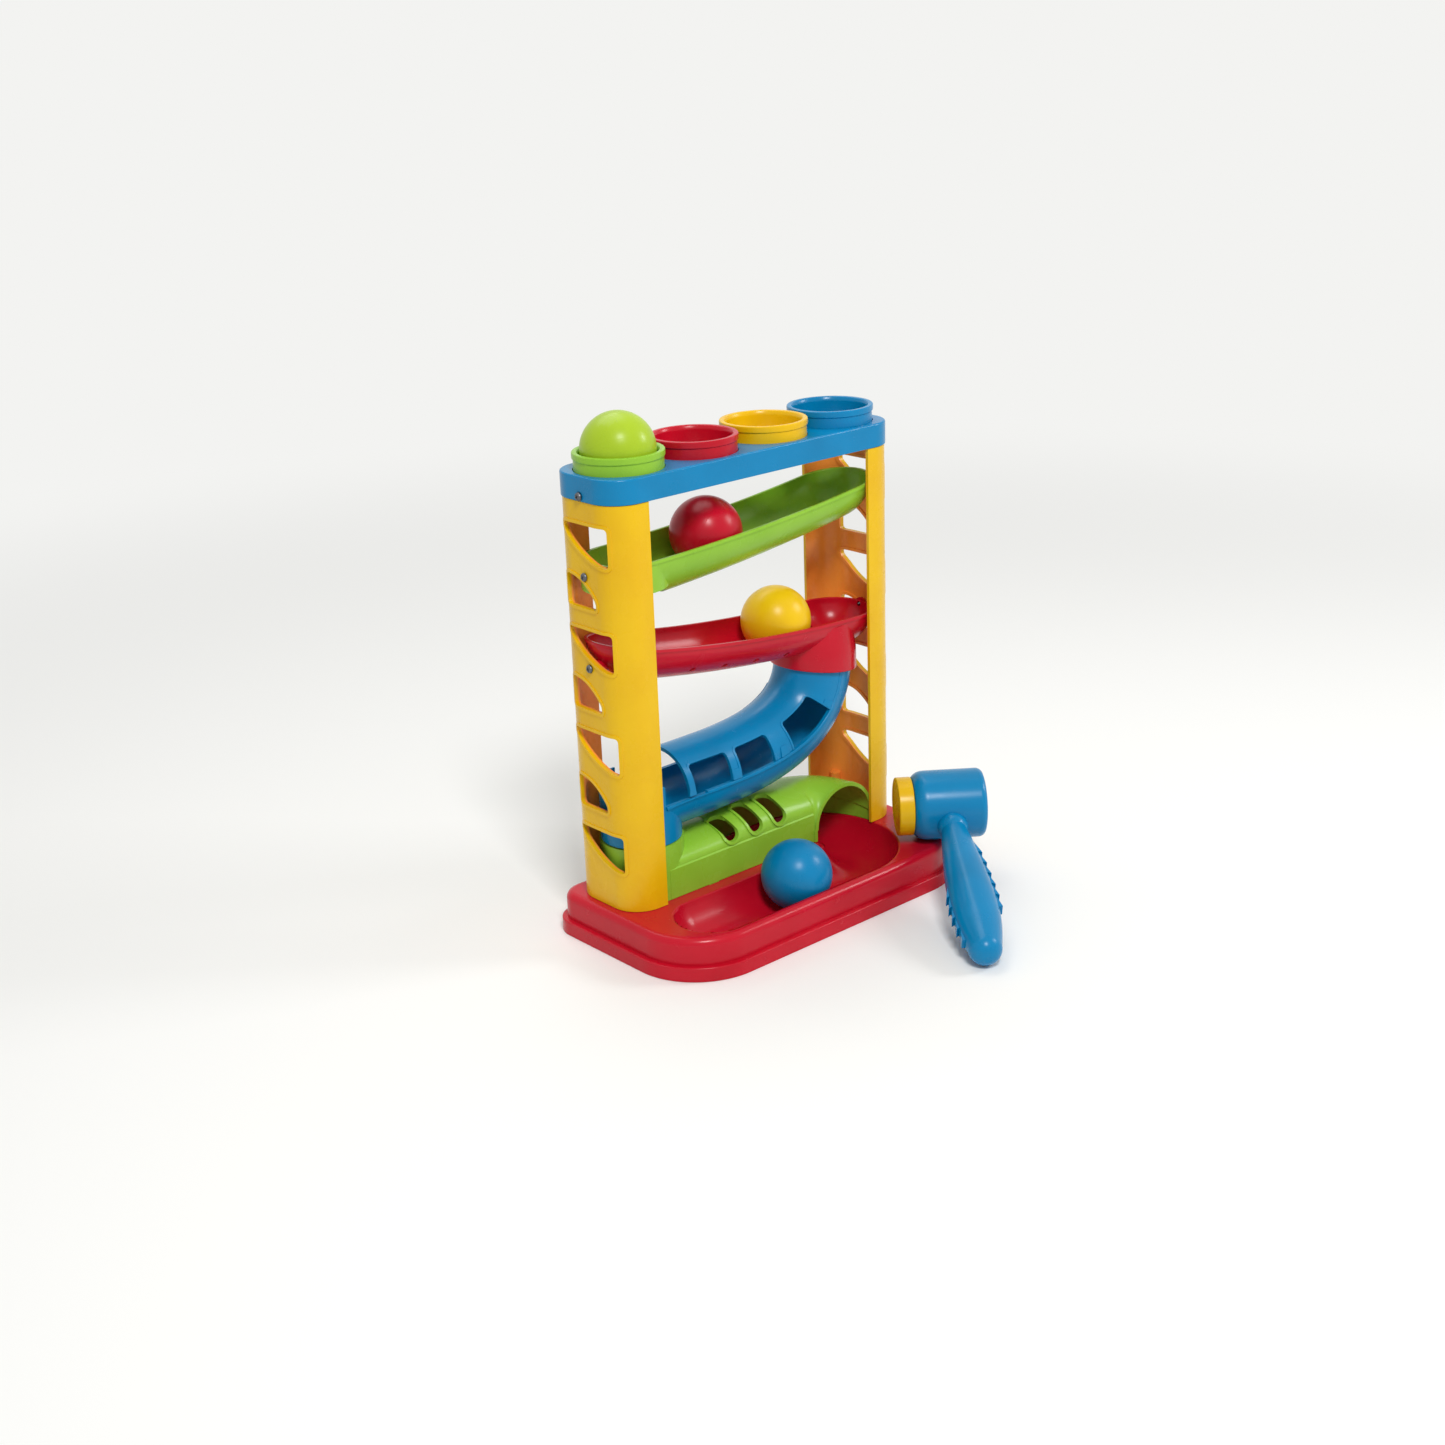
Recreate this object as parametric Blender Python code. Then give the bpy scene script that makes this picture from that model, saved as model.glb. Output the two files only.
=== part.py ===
"""A ball pounding tower: four balls are hammered through soft rings in the top rail, roll down two
ramps, a covered tube and a tunnel, and end in a trough at the front of the base.

X runs along the tower, Y away from the player, Z up. The origin is on the underside of the base, below
the middle of the tower. All lengths are metres.
"""

import math

import bmesh
import bpy
from mathutils import Matrix, Vector

# Running gaps and cuts
gap = 0.0003
overrun = 0.003
fine_step = 0.0012

# Facets
ring_sides = 20
arch_sides = 10
corner_steps = 3
ramp_stations = 6
tube_stations = 12
plain_stations = 2
smooth_angle = math.radians(35)

# Balls
ball_diameter = 0.045
ball_sides = 16
ball_rings = 9

# Collars and their soft holding rings
collar_count = 4
collar_room = 0.0008
collar_wall = 0.0035
collar_flange = 0.0007
collar_flange_height = 0.0018
collar_spacing = 0.0021
collar_rise = 0.0105
collar_rim_round = 0.0012
ring_thickness = 0.0021
ring_seat = 0.0015
finger_reach = 0.0058
finger_slit = 0.0016
finger_count = 8

# Top rail
rail_height = 0.0148
rail_wall = 0.0022
rail_top = 0.0025
rail_overhang = 0.0007
rail_round = 0.0012
flange_room = 0.00035

# Columns
rail_headroom = 0.033
column_wall = 0.0022
column_depth = 0.026
column_corner = 0.019
column_side_room = 0.002
spigot_height = 0.0062
spigot_overlap = 0.006
window_drop = 0.0135
window_foot = 0.0484
window_round = 0.0028
window_depth = 0.012
window_levels = 4
upper_window_shares = ((0.60, 0.0), (-0.673, 0.0), (-0.673, -0.377), (0.05, -0.319), (0.60, -0.055))
lower_window_shares = ((0.60, -0.484), (0.067, -0.495), (-0.317, -0.715), (-0.317, -0.79), (0.60, -0.79))

# Ramps
ramp_room = 0.0015
ramp_wall = 0.0018
ramp_boss_radius = 0.004
ramp_spacing = 0.0702
upper_rim_slope_share = 0.078
upper_floor_slope_share = 0.105
upper_depth = 0.0243
upper_radius = 1.5
upper_hoop = 0.0187
upper_screw_left_drop = 0.0075
upper_screw_right_drop = 0.0133
lower_rim_rise = 0.1498
lower_slope_share = -0.105
lower_depth = 0.0218
lower_radius = 1.0
lower_screw_left_drop = 0.0103
lower_screw_right_drop = 0.0025
drain_radius = 0.002
drain_pitch = 0.026
drain_count = 4
drain_turn = math.radians(42)
bucket_cone = 0.011
bucket_straight = 0.013
bucket_lift = 0.009
inlet_depth = 0.010
socket_room = 0.0012

# Tube and its spout
drop_x = 0.0665
tube_room = 0.001
tube_wall = 0.0018
tube_lip = 0.001
tube_lip_height = 0.0024
spout_height = 0.0615
inlet_pull_share = 1.2315609
outlet_pull = 0.0432
outlet_tilt = math.radians(7.5)
spout_x = 0.083
spout_rise = 0.013
cover_end_share = 0.872
window_run_shares = ((0.683, 0.845), (0.5, 0.645), (0.19, 0.41))
window_arc = math.radians(44)
pane_round_share = 0.12

# Tunnel
tunnel_wall = 0.0018
tunnel_crease = 0.020
arch_spring = 0.008
arch_corner = 0.0007
tunnel_step = 0.0008
hoop_rise = 0.0362
tunnel_seam_x = 0.034
tunnel_roof = 0.0370
tunnel_left_roof_share = 0.86
tunnel_exit_roof_share = 0.895
slot_width = 0.0085
slot_foot = 0.0225
slot_depth = 0.020
slot_pitch = 0.0205
slot_count = 3
slot_first_x = 0.030
slot_lean = 0.004
tab_width = 0.008
tab_depth = 0.005
tab_spread = 0.048

# Base
base_height = 0.026
base_wall = 0.0024
base_floor = 0.0022
base_front_rim = 0.0095
base_back_rim = 0.012
base_end_rim = 0.011
base_front_corner = 0.046
base_back_corner = 0.018
skirt_height = 0.009
skirt_step = 0.0035
skirt_draft = 0.0005
deck_round = 0.005
track_room = 0.002
track_floor = 0.0069
trough_land = 0.0066
trough_start_x = 0.0785
rib_thickness = 0.002
rib_clearance = 0.0015
rib_pitch = 0.070
rib_count = 2
foot_radius = 0.009
boss_radius = 0.0045
boss_drop = 0.0095

# Screws
screw_radius = 0.0013
screw_head_radius = 0.0026
screw_head_height = 0.0016
screw_boss_radius = 0.0032
foot_screw_length = 0.022
side_screw_length = 0.0068
screw_boss_height = 0.018
screw_sides = 6

# Hammer
barrel_radius = 0.0225
barrel_length = 0.046
barrel_round = 0.004
barrel_crown = 0.0015
cap_radius = 0.019
cap_thickness = 0.010
cap_round = 0.0008
cap_spigot = 0.004
cap_spigot_radius = 0.013
handle_length = 0.150
handle_socket = 0.012
neck_radius = 0.0078
grip_sides = 12
grip_half_width = 0.0150
grip_half_thickness = 0.0122
tip_radius = 0.0105
grip_stations_shares = ((0.15, 0.53, 0.65), (0.20, 0.56, 0.69), (0.30, 0.70, 0.80), (0.42, 0.84, 0.91),
                        (0.55, 0.95, 0.98), (0.66, 1.0, 1.0), (0.76, 0.97, 0.98), (0.86, 0.84, 0.92))
fin_count = 6
fin_reach = 0.0022
fin_start_share = 0.30
fin_end_share = 0.86
fin_thickness_share = 0.62
hammer_x = 0.107
hammer_y = -0.081
hammer_turn = math.radians(-38)

# Where the balls lie
red_ball_x = -0.0213
yellow_ball_x = 0.0345
blue_ball_x = -0.0087

# Sizes that follow from those above
ball_radius = ball_diameter / 2
collar_bore = ball_radius + collar_room
collar_radius = collar_bore + collar_wall
flange_radius = collar_radius + collar_flange
collar_pitch = 2 * flange_radius + collar_spacing
reach = (collar_count - 1) / 2 * collar_pitch
ramp_inner = ball_radius + ramp_room
ramp_outer = ramp_inner + ramp_wall
tube_inner = ball_radius + tube_room
tube_outer = tube_inner + tube_wall
track_radius = ball_radius + track_room
track_z = track_floor + track_radius
tunnel_half = track_radius + tunnel_wall
column_inner = ramp_outer + column_side_room
column_half = column_inner + column_wall
rail_inner_end = reach + flange_radius + flange_room
column_end = rail_inner_end + rail_wall - rail_overhang
lower_rim = base_height + lower_rim_rise
upper_rim = lower_rim + ramp_spacing
column_foot = base_height + gap
column_top = upper_rim + rail_headroom
window_pitch = (column_top - window_drop - column_foot - window_foot) / (window_levels - 1)
rail_bottom = column_top + gap
rail_z = rail_bottom + rail_height
plate_z = rail_z - rail_top
collar_top = rail_z + collar_rise
finger_tip = ball_radius - finger_reach + collar_room
ring_radius = collar_bore + ring_seat
lime_ball_z = collar_top
ring_top = lime_ball_z - math.sqrt(ball_radius ** 2 - finger_tip ** 2) - gap
trough_y = -2 * (track_radius + base_floor) - trough_land
base_half = column_end + base_end_rim
base_front = trough_y - track_radius - base_front_rim
base_back = column_half + base_back_rim
turn_radius = -trough_y / 2
arch_reach = tunnel_half + arch_corner
tunnel_foot = base_height + gap
tunnel_top = base_height + tunnel_roof
hoop_top = base_height + hoop_rise
inlet_z = lower_rim - lower_depth - inlet_depth + ramp_wall
spout_z = base_height + spout_height
inlet_pull = inlet_pull_share * (inlet_z - spout_z)
screw_offset = column_corner - column_wall - screw_boss_radius
foot_screw_x = column_end - column_corner + screw_offset * math.cos(math.radians(45))
foot_screw_y = column_half - column_corner + screw_offset * math.sin(math.radians(45))
spigot_out = rail_wall - rail_overhang + gap
hammer_z = base_height + gap + barrel_radius
hammer_tilt = math.asin((hammer_z - tip_radius - gap) / (handle_length - tip_radius))


def material(name, colour, roughness, metallic=0.0):
    made = bpy.data.materials.new(name)
    made.use_nodes = True
    shader = made.node_tree.nodes["Principled BSDF"]
    shader.inputs["Base Color"].default_value = (*colour, 1.0)
    shader.inputs["Roughness"].default_value = roughness
    shader.inputs["Metallic"].default_value = metallic
    return made


def solid(name, shape, finish=None, parent=None, location=(0, 0, 0), smooth=True):
    """An object from a shape, which is a list of points and a list of faces."""
    points, faces = shape
    mesh = bpy.data.meshes.new(name)
    mesh.from_pydata([tuple(point) for point in points], [], faces)
    shell = bmesh.new()
    shell.from_mesh(mesh)
    bmesh.ops.recalc_face_normals(shell, faces=shell.faces)
    shell.to_mesh(mesh)
    shell.free()
    if smooth:
        mesh.shade_smooth()
        mesh.set_sharp_from_angle(angle=smooth_angle)
    made = bpy.data.objects.new(name, mesh)
    bpy.context.scene.collection.objects.link(made)
    made.location = location
    made.parent = parent
    if finish:
        mesh.materials.append(material(name + "_finish", *finish))
    return made


def combine(target, name, shape, operation="DIFFERENCE"):
    """Adds or removes a shape by a Boolean whose guide stays in the file as a wire."""
    guide = solid(f"{target.name}_{name}", shape, parent=target.parent, location=target.location)
    guide.hide_render = True
    guide.display_type = "WIRE"
    change = target.modifiers.new(name, "BOOLEAN")
    change.operation = operation
    change.object = guide
    return guide


def joined(shapes):
    points, faces = [], []
    for shape_points, shape_faces in shapes:
        first = len(points)
        points.extend(shape_points)
        faces.extend([index + first for index in face] for face in shape_faces)
    return points, faces


def moved(shape, matrix):
    return [matrix @ Vector(point) for point in shape[0]], shape[1]


def loft(rings, looped=False):
    """Rings of as many points each, joined by quads. The ends are capped unless the rings close up."""
    count = len(rings[0])
    points = [point for ring in rings for point in ring]
    faces = []
    for level in range(len(rings) if looped else len(rings) - 1):
        here, there = level * count, (level + 1) % len(rings) * count
        for i in range(count):
            j = (i + 1) % count
            faces.append([here + i, here + j, there + j, there + i])
    if not looped:
        faces.append(list(range(count)))
        faces.append([len(points) - count + i for i in range(count)])
    return points, faces


def prism(outline, low, high, along="z"):
    """An outline extruded along an axis. Its points are the other two axes, in X, Y, Z order."""
    place = {
        "x": lambda u, v, w: (w, u, v),
        "y": lambda u, v, w: (u, w, v),
        "z": lambda u, v, w: (u, v, w),
    }[along]
    return loft([[place(u, v, level) for u, v in outline] for level in (low, high)])


def box(x, y, z):
    corners = [(x[0], y[0]), (x[1], y[0]), (x[1], y[1]), (x[0], y[1])]
    return prism(corners, z[0], z[1])


def circle(radius, sides=ring_sides, centre=(0, 0), shift=1 / 2):
    """Points round a circle. A whole shift puts a point straight below the centre."""
    turns = [2 * math.pi * (i + shift) / sides for i in range(sides)]
    return [(centre[0] + radius * math.cos(turn), centre[1] + radius * math.sin(turn)) for turn in turns]


def cylinder(radius, low, high, centre=(0, 0), along="z", sides=ring_sides):
    return prism(circle(radius, sides, centre), low, high, along)


def turned(profile, centre=(0, 0), sides=ring_sides):
    """A closed profile of radii and heights turned about a vertical axis."""
    rings = []
    for i in range(sides):
        turn = 2 * math.pi * (i + 1 / 2) / sides
        ring = [
            (centre[0] + radius * math.cos(turn), centre[1] + radius * math.sin(turn), height)
            for radius, height in profile
        ]
        rings.append(ring)
    return loft(rings, looped=True)


def turned_solid(profile, sides=ball_sides):
    """Discs stacked along X, from distances and radii."""
    rings = [[(x, *point) for point in circle(radius, sides)] for x, radius in profile]
    return loft(rings)


def arc(centre, radius, start, end, steps):
    turns = [start + (end - start) * i / steps for i in range(steps + 1)]
    return [(centre[0] + radius * math.cos(turn), centre[1] + radius * math.sin(turn)) for turn in turns]


def curve_through(first, pull, last, steps):
    """Points inside a curve that leaves first and reaches last, drawn towards pull."""
    points = []
    for i in range(1, steps):
        t = i / steps
        weights = ((1 - t) ** 2, 2 * t * (1 - t), t * t)
        pairs = zip(*(first, pull, last))
        points.append(tuple(sum(w * value for w, value in zip(weights, pair)) for pair in pairs))
    return points


def rounded(before, corner, after, radius, steps=2):
    """The points that round a corner of an outline."""
    a, b, c = Vector(before), Vector(corner), Vector(after)
    cut = min(radius, (a - b).length / 2, (c - b).length / 2)
    start, end = b + (a - b).normalized() * cut, b + (c - b).normalized() * cut
    return [tuple(start)] + curve_through(start, b, end, steps) + [tuple(end)]


def rounded_rectangle(left, right, front, back, front_corner, back_corner):
    quarter = math.pi / 2
    corners = (
        (right - front_corner, front + front_corner, front_corner, 3),
        (right - back_corner, back - back_corner, back_corner, 0),
        (left + back_corner, back - back_corner, back_corner, 1),
        (left + front_corner, front + front_corner, front_corner, 2),
    )
    points = []
    for x, y, radius, turn in corners:
        points += arc((x, y), radius, turn * quarter, (turn + 1) * quarter, corner_steps)
    return points


def swept(frames, section):
    """A section of sideways and upward sizes carried along frames of point, side, up and scale."""
    rings = []
    for point, side, up, scale in frames:
        rings.append([point + (side * u + up * v) * scale for u, v in section])
    return loft(rings)


def round_end(frame, radius, forward, steps=4):
    """Frames that close a round sweep with a half ball. forward is 1 at the end of a path, -1 at its start."""
    point, side, up, _ = frame
    along = up.cross(side) * forward
    frames = []
    for i in range(1, steps + 1):
        turn = math.pi / 2 * i / (steps + 1 / steps)
        frames.append((point + along * radius * math.sin(turn), side, up, math.cos(turn)))
    return frames


def arc_rise(x, slope, radius):
    """The height of a long upward arc at x, which passes through zero at x = 0 with this slope."""
    lean = math.atan(slope)
    return radius * math.cos(lean) - math.sqrt(radius ** 2 - (x + radius * math.sin(lean)) ** 2)


def arc_centre(height, slope, radius):
    lean = math.atan(slope)
    return Vector((-radius * math.sin(lean), 0, height + radius * math.cos(lean)))


# Base


def base_outline(inset):
    return rounded_rectangle(
        inset - base_half, base_half - inset, base_front + inset, base_back - inset,
        base_front_corner - inset, base_back_corner - inset,
    )


def base_body():
    shoulder = skirt_step + skirt_draft
    levels = [(0, 0), (skirt_height, skirt_draft), (skirt_height, shoulder)]
    for i in range(corner_steps + 1):
        turn = math.pi / 2 * i / corner_steps
        rise = base_height - deck_round + deck_round * math.sin(turn)
        levels.append((rise, shoulder + skirt_draft + deck_round * (1 - math.cos(turn))))
    return loft([[(x, y, z) for x, y in base_outline(inset)] for z, inset in levels])


def base_cavity():
    shoulder = skirt_step + skirt_draft + base_wall
    low_ceiling, ceiling = skirt_height - base_wall, base_height - base_wall
    levels = (
        (-overrun, base_wall), (low_ceiling, base_wall), (low_ceiling, shoulder),
        (base_height - deck_round, shoulder + skirt_draft), (ceiling, shoulder + deck_round),
    )
    return loft([[(x, y, z) for x, y in base_outline(inset)] for z, inset in levels])


def track_frames(radius):
    """The ball's path in the base: right under the tunnel, round to the front, and left in the trough."""
    up = Vector((0, 0, 1))
    path = [((-spout_x, 0), 0)]
    centre = (drop_x - turn_radius, -turn_radius)
    steps = arch_sides
    for i in range(steps + 1):
        turn = math.pi / 2 - math.pi * i / steps
        point = (centre[0] + turn_radius * math.cos(turn), centre[1] + turn_radius * math.sin(turn))
        path.append((point, -math.pi * i / steps))
    path.append(((-trough_start_x, trough_y), -math.pi))
    frames = []
    for (x, y), heading in path:
        side = Vector((math.sin(heading), -math.cos(heading), 0))
        frames.append((Vector((x, y, track_z)), side, up, 1.0))
    start = round_end(frames[0], radius, -1)[::-1]
    return start + frames + round_end(frames[-1], radius, 1)


def track_shape(radius):
    return swept(track_frames(radius), circle(radius, shift=0))


def foot_screw_places():
    return [(x, y) for x in (-foot_screw_x, foot_screw_x) for y in (-foot_screw_y, foot_screw_y)]


def tab_places():
    tab_y = track_radius + tunnel_wall / 2
    return [(x, y) for x in (-tab_spread, tab_width) for y in (-tab_y, tab_y)]


def base_ribs():
    """Ribs and bosses under the deck. They are left standing when the hollow is cut."""
    ribs = []
    low, high = rib_clearance, base_height
    for i in range(rib_count):
        x = (i - (rib_count - 1) / 2) * rib_pitch
        ribs.append(box((x - rib_thickness / 2, x + rib_thickness / 2), (base_front, base_back), (low, high)))
    return ribs


def add_base():
    base = solid("base_tray", base_body(), red_finish)
    combine(base, "track", track_shape(track_radius))
    hollow = combine(base, "hollow", base_cavity())
    combine(hollow, "track_floor", track_shape(track_radius + base_floor))
    for i, rib in enumerate(base_ribs()):
        combine(hollow, f"rib_{i}", rib)
    combine(hollow, "foot", cylinder(foot_radius, -2 * overrun, base_height))
    high = base_height
    bosses = [cylinder(boss_radius, boss_drop, high, place) for place in foot_screw_places()]
    combine(hollow, "bosses", joined(bosses))
    hole = screw_radius + gap
    holes = [cylinder(hole, -overrun, high + overrun, place, sides=screw_sides) for place in foot_screw_places()]
    combine(base, "screw_holes", joined(holes))
    wide, thick = tab_width / 2 + gap, tunnel_wall / 2 + gap
    low = base_height - tab_depth - overrun
    slots = [box((x - wide, x + wide), (y - thick, y + thick), (low, high + overrun)) for x, y in tab_places()]
    combine(base, "tab_slots", joined(slots))
    return base


# Columns


def channel_outline(offset, thickness, depth):
    """The open plan of the left column, drawn in by offset, with a wall of this thickness."""
    def side(inset):
        x, y = column_end - inset, column_half - inset
        corner = max(column_corner - inset, thickness)
        quarter = math.pi / 2
        front = arc((-x + corner, -y + corner), corner, 3 * quarter, 2 * quarter, corner_steps)
        back = arc((-x + corner, y - corner), corner, 2 * quarter, quarter, corner_steps)
        tip = -column_end + depth
        return [(tip, -y)] + front + back + [(tip, y)]
    return side(offset) + side(offset + thickness)[::-1]


def window_outline(shares, pull):
    """A window in Y and Z below the top line of its level. The point at index pull only bends the edge."""
    points = [(y * column_half, z * window_pitch) for y, z in shares]
    outline = []
    for i, point in enumerate(points):
        before, after = points[i - 1], points[(i + 1) % len(points)]
        if i == pull:
            outline += curve_through(before, point, after, 3)
        else:
            outline += rounded(before, point, after, window_round)
    return outline


def column_windows(side):
    cuts = []
    upper = window_outline(upper_window_shares, 3)
    lower = window_outline(lower_window_shares, 1)
    reach_in = sorted((side * (column_end + overrun), side * (column_end - window_depth)))
    for level in range(window_levels):
        top = column_top - window_drop - level * window_pitch
        for outline in (upper, lower) if level < window_levels - 1 else (upper,):
            cuts.append(prism([(y, top + z) for y, z in outline], *reach_in, along="x"))
    return joined(cuts)


def mirrored(shape, side):
    return moved(shape, Matrix.Diagonal((-side, 1, 1, 1)))


def ramp_screws():
    """The heights of the two ramps' screws, left and right. Each lies where the column has no window."""
    return {
        -1: (upper_rim_at(-reach) - upper_screw_left_drop, lower_rim_at(-reach) - lower_screw_left_drop),
        1: (upper_rim_at(reach) - upper_screw_right_drop, lower_rim_at(reach) - lower_screw_right_drop),
    }


def rail_screw_z():
    return column_top + spigot_height / 2


def add_column(name, side):
    shell = mirrored(prism(channel_outline(0, column_wall, column_depth), column_foot, column_top), side)
    column = solid(name, shell, yellow_finish)
    inner = channel_outline(spigot_out, column_wall, column_depth - fine_step)
    spigot = prism(inner, column_top - spigot_overlap, column_top + spigot_height)
    combine(column, "spigot", mirrored(spigot, side), "UNION")
    bosses = []
    for y in (-foot_screw_y, foot_screw_y):
        place = (side * foot_screw_x, y)
        top = column_foot + screw_boss_height
        bosses.append(cylinder(screw_boss_radius, column_foot, top, place, sides=2 * screw_sides))
    combine(column, "bosses", joined(bosses), "UNION")
    combine(column, "windows", column_windows(side))
    hole = screw_radius + gap
    holes = []
    for y in (-foot_screw_y, foot_screw_y):
        place = (side * foot_screw_x, y)
        top = boss_drop + foot_screw_length + overrun - gap
        holes.append(cylinder(hole, column_foot - overrun, top, place, sides=screw_sides))
    across = sorted((side * (column_end + overrun), side * (column_end - 2 * column_wall - overrun)))
    for height in (*ramp_screws()[side], rail_screw_z()):
        holes.append(cylinder(hole, *across, centre=(0, height), along="x", sides=screw_sides))
    combine(column, "screw_holes", joined(holes))
    return column


# Rail, collars and holding rings


def collar_places():
    return [(i * collar_pitch - reach, 0) for i in range(collar_count)]


def rail_outline(inset):
    corner = column_corner + rail_overhang - inset
    x, y = column_end + rail_overhang - inset, column_half + rail_overhang - inset
    return rounded_rectangle(-x, x, -y, y, corner, corner)


def add_rail():
    levels = [(rail_bottom, 0), (rail_z - rail_round, 0)]
    for i in (1, 2):
        turn = math.pi / 4 * i
        levels.append((rail_z - rail_round + rail_round * math.sin(turn), rail_round * (1 - math.cos(turn))))
    body = loft([[(x, y, z) for x, y in rail_outline(inset)] for z, inset in levels])
    rail = solid("top_rail", body, blue_finish)
    combine(rail, "hollow", prism(rail_outline(rail_wall), rail_bottom - overrun, plate_z))
    bores = [cylinder(collar_radius + gap, plate_z - overrun, rail_z + overrun, place) for place in collar_places()]
    combine(rail, "bores", joined(bores))
    across = column_end + rail_overhang + overrun
    hole = cylinder(screw_radius + gap, -across, across, (0, rail_screw_z()), "x", screw_sides)
    combine(rail, "screw_holes", hole)
    return rail


def collar_profile():
    """The collar's wall: a rounded rim, a groove for the soft ring and a flange under the rail."""
    bore, out, high = collar_bore, collar_radius, collar_top
    groove = ring_radius + gap
    flange_top = plate_z - gap
    foot = rail_bottom + spigot_height + collar_rim_round
    return [
        (bore, high), (out - collar_rim_round, high), (out, high - collar_rim_round),
        (out, flange_top), (flange_radius, flange_top), (flange_radius, flange_top - collar_flange_height),
        (out, flange_top - collar_flange_height), (out, foot), (bore, foot),
        (bore, ring_top - ring_thickness - gap), (groove, ring_top - ring_thickness - gap),
        (groove, ring_top + gap), (bore, ring_top + gap),
    ]


def add_collar(name, place, finish):
    return solid(name, turned(collar_profile(), place), finish)


def add_finger_ring(name, place, finish):
    low, high = ring_top - ring_thickness, ring_top
    profile = [(finger_tip, low), (ring_radius, low), (ring_radius, high), (finger_tip, high)]
    ring = solid(name, turned(profile, place), finish)
    run = (finger_tip - overrun, collar_bore - fine_step)
    slit = box(run, (-finger_slit / 2, finger_slit / 2), (low - overrun, high + overrun))
    slits = []
    for i in range(finger_count):
        turn = Matrix.Rotation(2 * math.pi * (i + 1 / 2) / finger_count, 4, "Z")
        slits.append(moved(slit, Matrix.Translation((*place, 0)) @ turn))
    combine(ring, "slits", joined(slits))
    return ring


# Ramps


def gutter(start, end, half, rim, floor, round_start, round_end_too):
    """A half round channel along X. rim and floor give heights at x; a round end closes like a spoon."""
    stations = [(start + (end - start) * i / ramp_stations, 1.0) for i in range(ramp_stations + 1)]
    steps = corner_steps + 1
    ends = [math.pi / 2 * i / (steps + 1 / steps) for i in range(1, steps + 1)]
    if round_start:
        stations = [(start - half * math.sin(t), math.cos(t)) for t in reversed(ends)] + stations
    if round_end_too:
        stations += [(end + half * math.sin(t), math.cos(t)) for t in ends]
    rings = []
    for x, scale in stations:
        top, depth = rim(x), (rim(x) - floor(x)) * scale
        ring = [(x, half * scale, top + overrun), (x, -half * scale, top + overrun)]
        for i in range(arch_sides + 1):
            turn = math.pi * i / arch_sides
            ring.append((x, -half * scale * math.cos(turn), top - depth * math.sin(turn)))
        rings.append(ring)
    return loft(rings)


def rim_trim(rim):
    """Everything above a ramp's rim."""
    far = reach + ramp_outer + overrun
    outline = [(-far + 2 * far * i / ramp_stations,) for i in range(ramp_stations + 1)]
    outline = [(x, rim(x)) for x, in outline]
    top = max(rim(-far), rim(far)) + ramp_outer
    outline += [(far, top), (-far, top)]
    return prism(outline, -ramp_outer - 2 * overrun, ramp_outer + 2 * overrun, "y")


def end_boss(side, height):
    """The boss on a ramp's round end that takes its screw."""
    across = sorted((side * (column_end - column_wall - gap), side * (reach + ramp_inner / 2)))
    return cylinder(ramp_boss_radius, *across, centre=(0, height), along="x", sides=2 * screw_sides)


def boss_hole(side, height):
    hole = screw_radius + gap
    depth = side_screw_length - column_wall + gap
    face = column_end - column_wall
    across = sorted((side * (face + overrun), side * (face - depth)))
    return cylinder(hole, *across, centre=(0, height), along="x", sides=screw_sides)


def upper_rim_at(x):
    return upper_rim + arc_rise(x, upper_rim_slope_share, upper_radius)


def upper_floor_at(x):
    return upper_rim - upper_depth + arc_rise(x, upper_floor_slope_share, upper_radius)


def lower_rim_at(x):
    return lower_rim + arc_rise(x, lower_slope_share, lower_radius)


def lower_floor_at(x):
    return lower_rim - lower_depth + arc_rise(x, lower_slope_share, lower_radius)


def add_upper_ramp():
    rim, floor = upper_rim_at, upper_floor_at
    heights = [ramp_screws()[side][0] for side in (-1, 1)]
    outer = gutter(-reach, reach, ramp_outer, rim, lambda x: floor(x) - ramp_wall, False, True)
    ramp = solid("upper_ramp", outer, green_finish)
    left = rim(-reach)
    hoop = cylinder(ramp_outer, left - upper_hoop, left + ramp_wall, (-reach, 0))
    combine(ramp, "hoop", hoop, "UNION")
    combine(ramp, "bosses", joined([end_boss(-1, heights[0]), end_boss(1, heights[1])]), "UNION")
    combine(ramp, "channel", gutter(-reach, reach, ramp_inner, rim, floor, False, True))
    drop = cylinder(collar_bore, left - 2 * upper_depth, left + upper_depth, (-reach, 0))
    combine(ramp, "drop", drop)
    combine(ramp, "trim", rim_trim(rim))
    combine(ramp, "screw_holes", joined([boss_hole(-1, heights[0]), boss_hole(1, heights[1])]))
    return ramp


def bucket_profile(outer):
    """The bucket that leads a ball from the lower ramp into the tube, down to its highest foot."""
    foot = inlet_z - bucket_straight
    wide = tube_outer + socket_room + ramp_wall
    shoulder = inlet_z + ramp_wall
    return [(foot, wide), (shoulder, wide), (shoulder + bucket_cone, outer)]


def upright(profile, place):
    """Discs stacked along Z at a place, from heights and radii."""
    return loft([[(x, y, z) for x, y in circle(radius, centre=place)] for z, radius in profile])


def drains():
    """Small round holes low in both walls of the lower ramp."""
    holes = []
    for i in range(drain_count):
        x = (i - (drain_count - 1) / 2) * drain_pitch - drain_pitch / 2
        for side in (-1, 1):
            hole = cylinder(drain_radius, ramp_inner - 2 * ramp_room, ramp_outer + overrun, along="z", sides=screw_sides)
            place = Matrix.Translation((x, 0, lower_rim_at(x)))
            turn = Matrix.Rotation(side * (math.pi / 2 + drain_turn), 4, "X")
            holes.append(moved(hole, place @ turn))
    return joined(holes)


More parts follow.
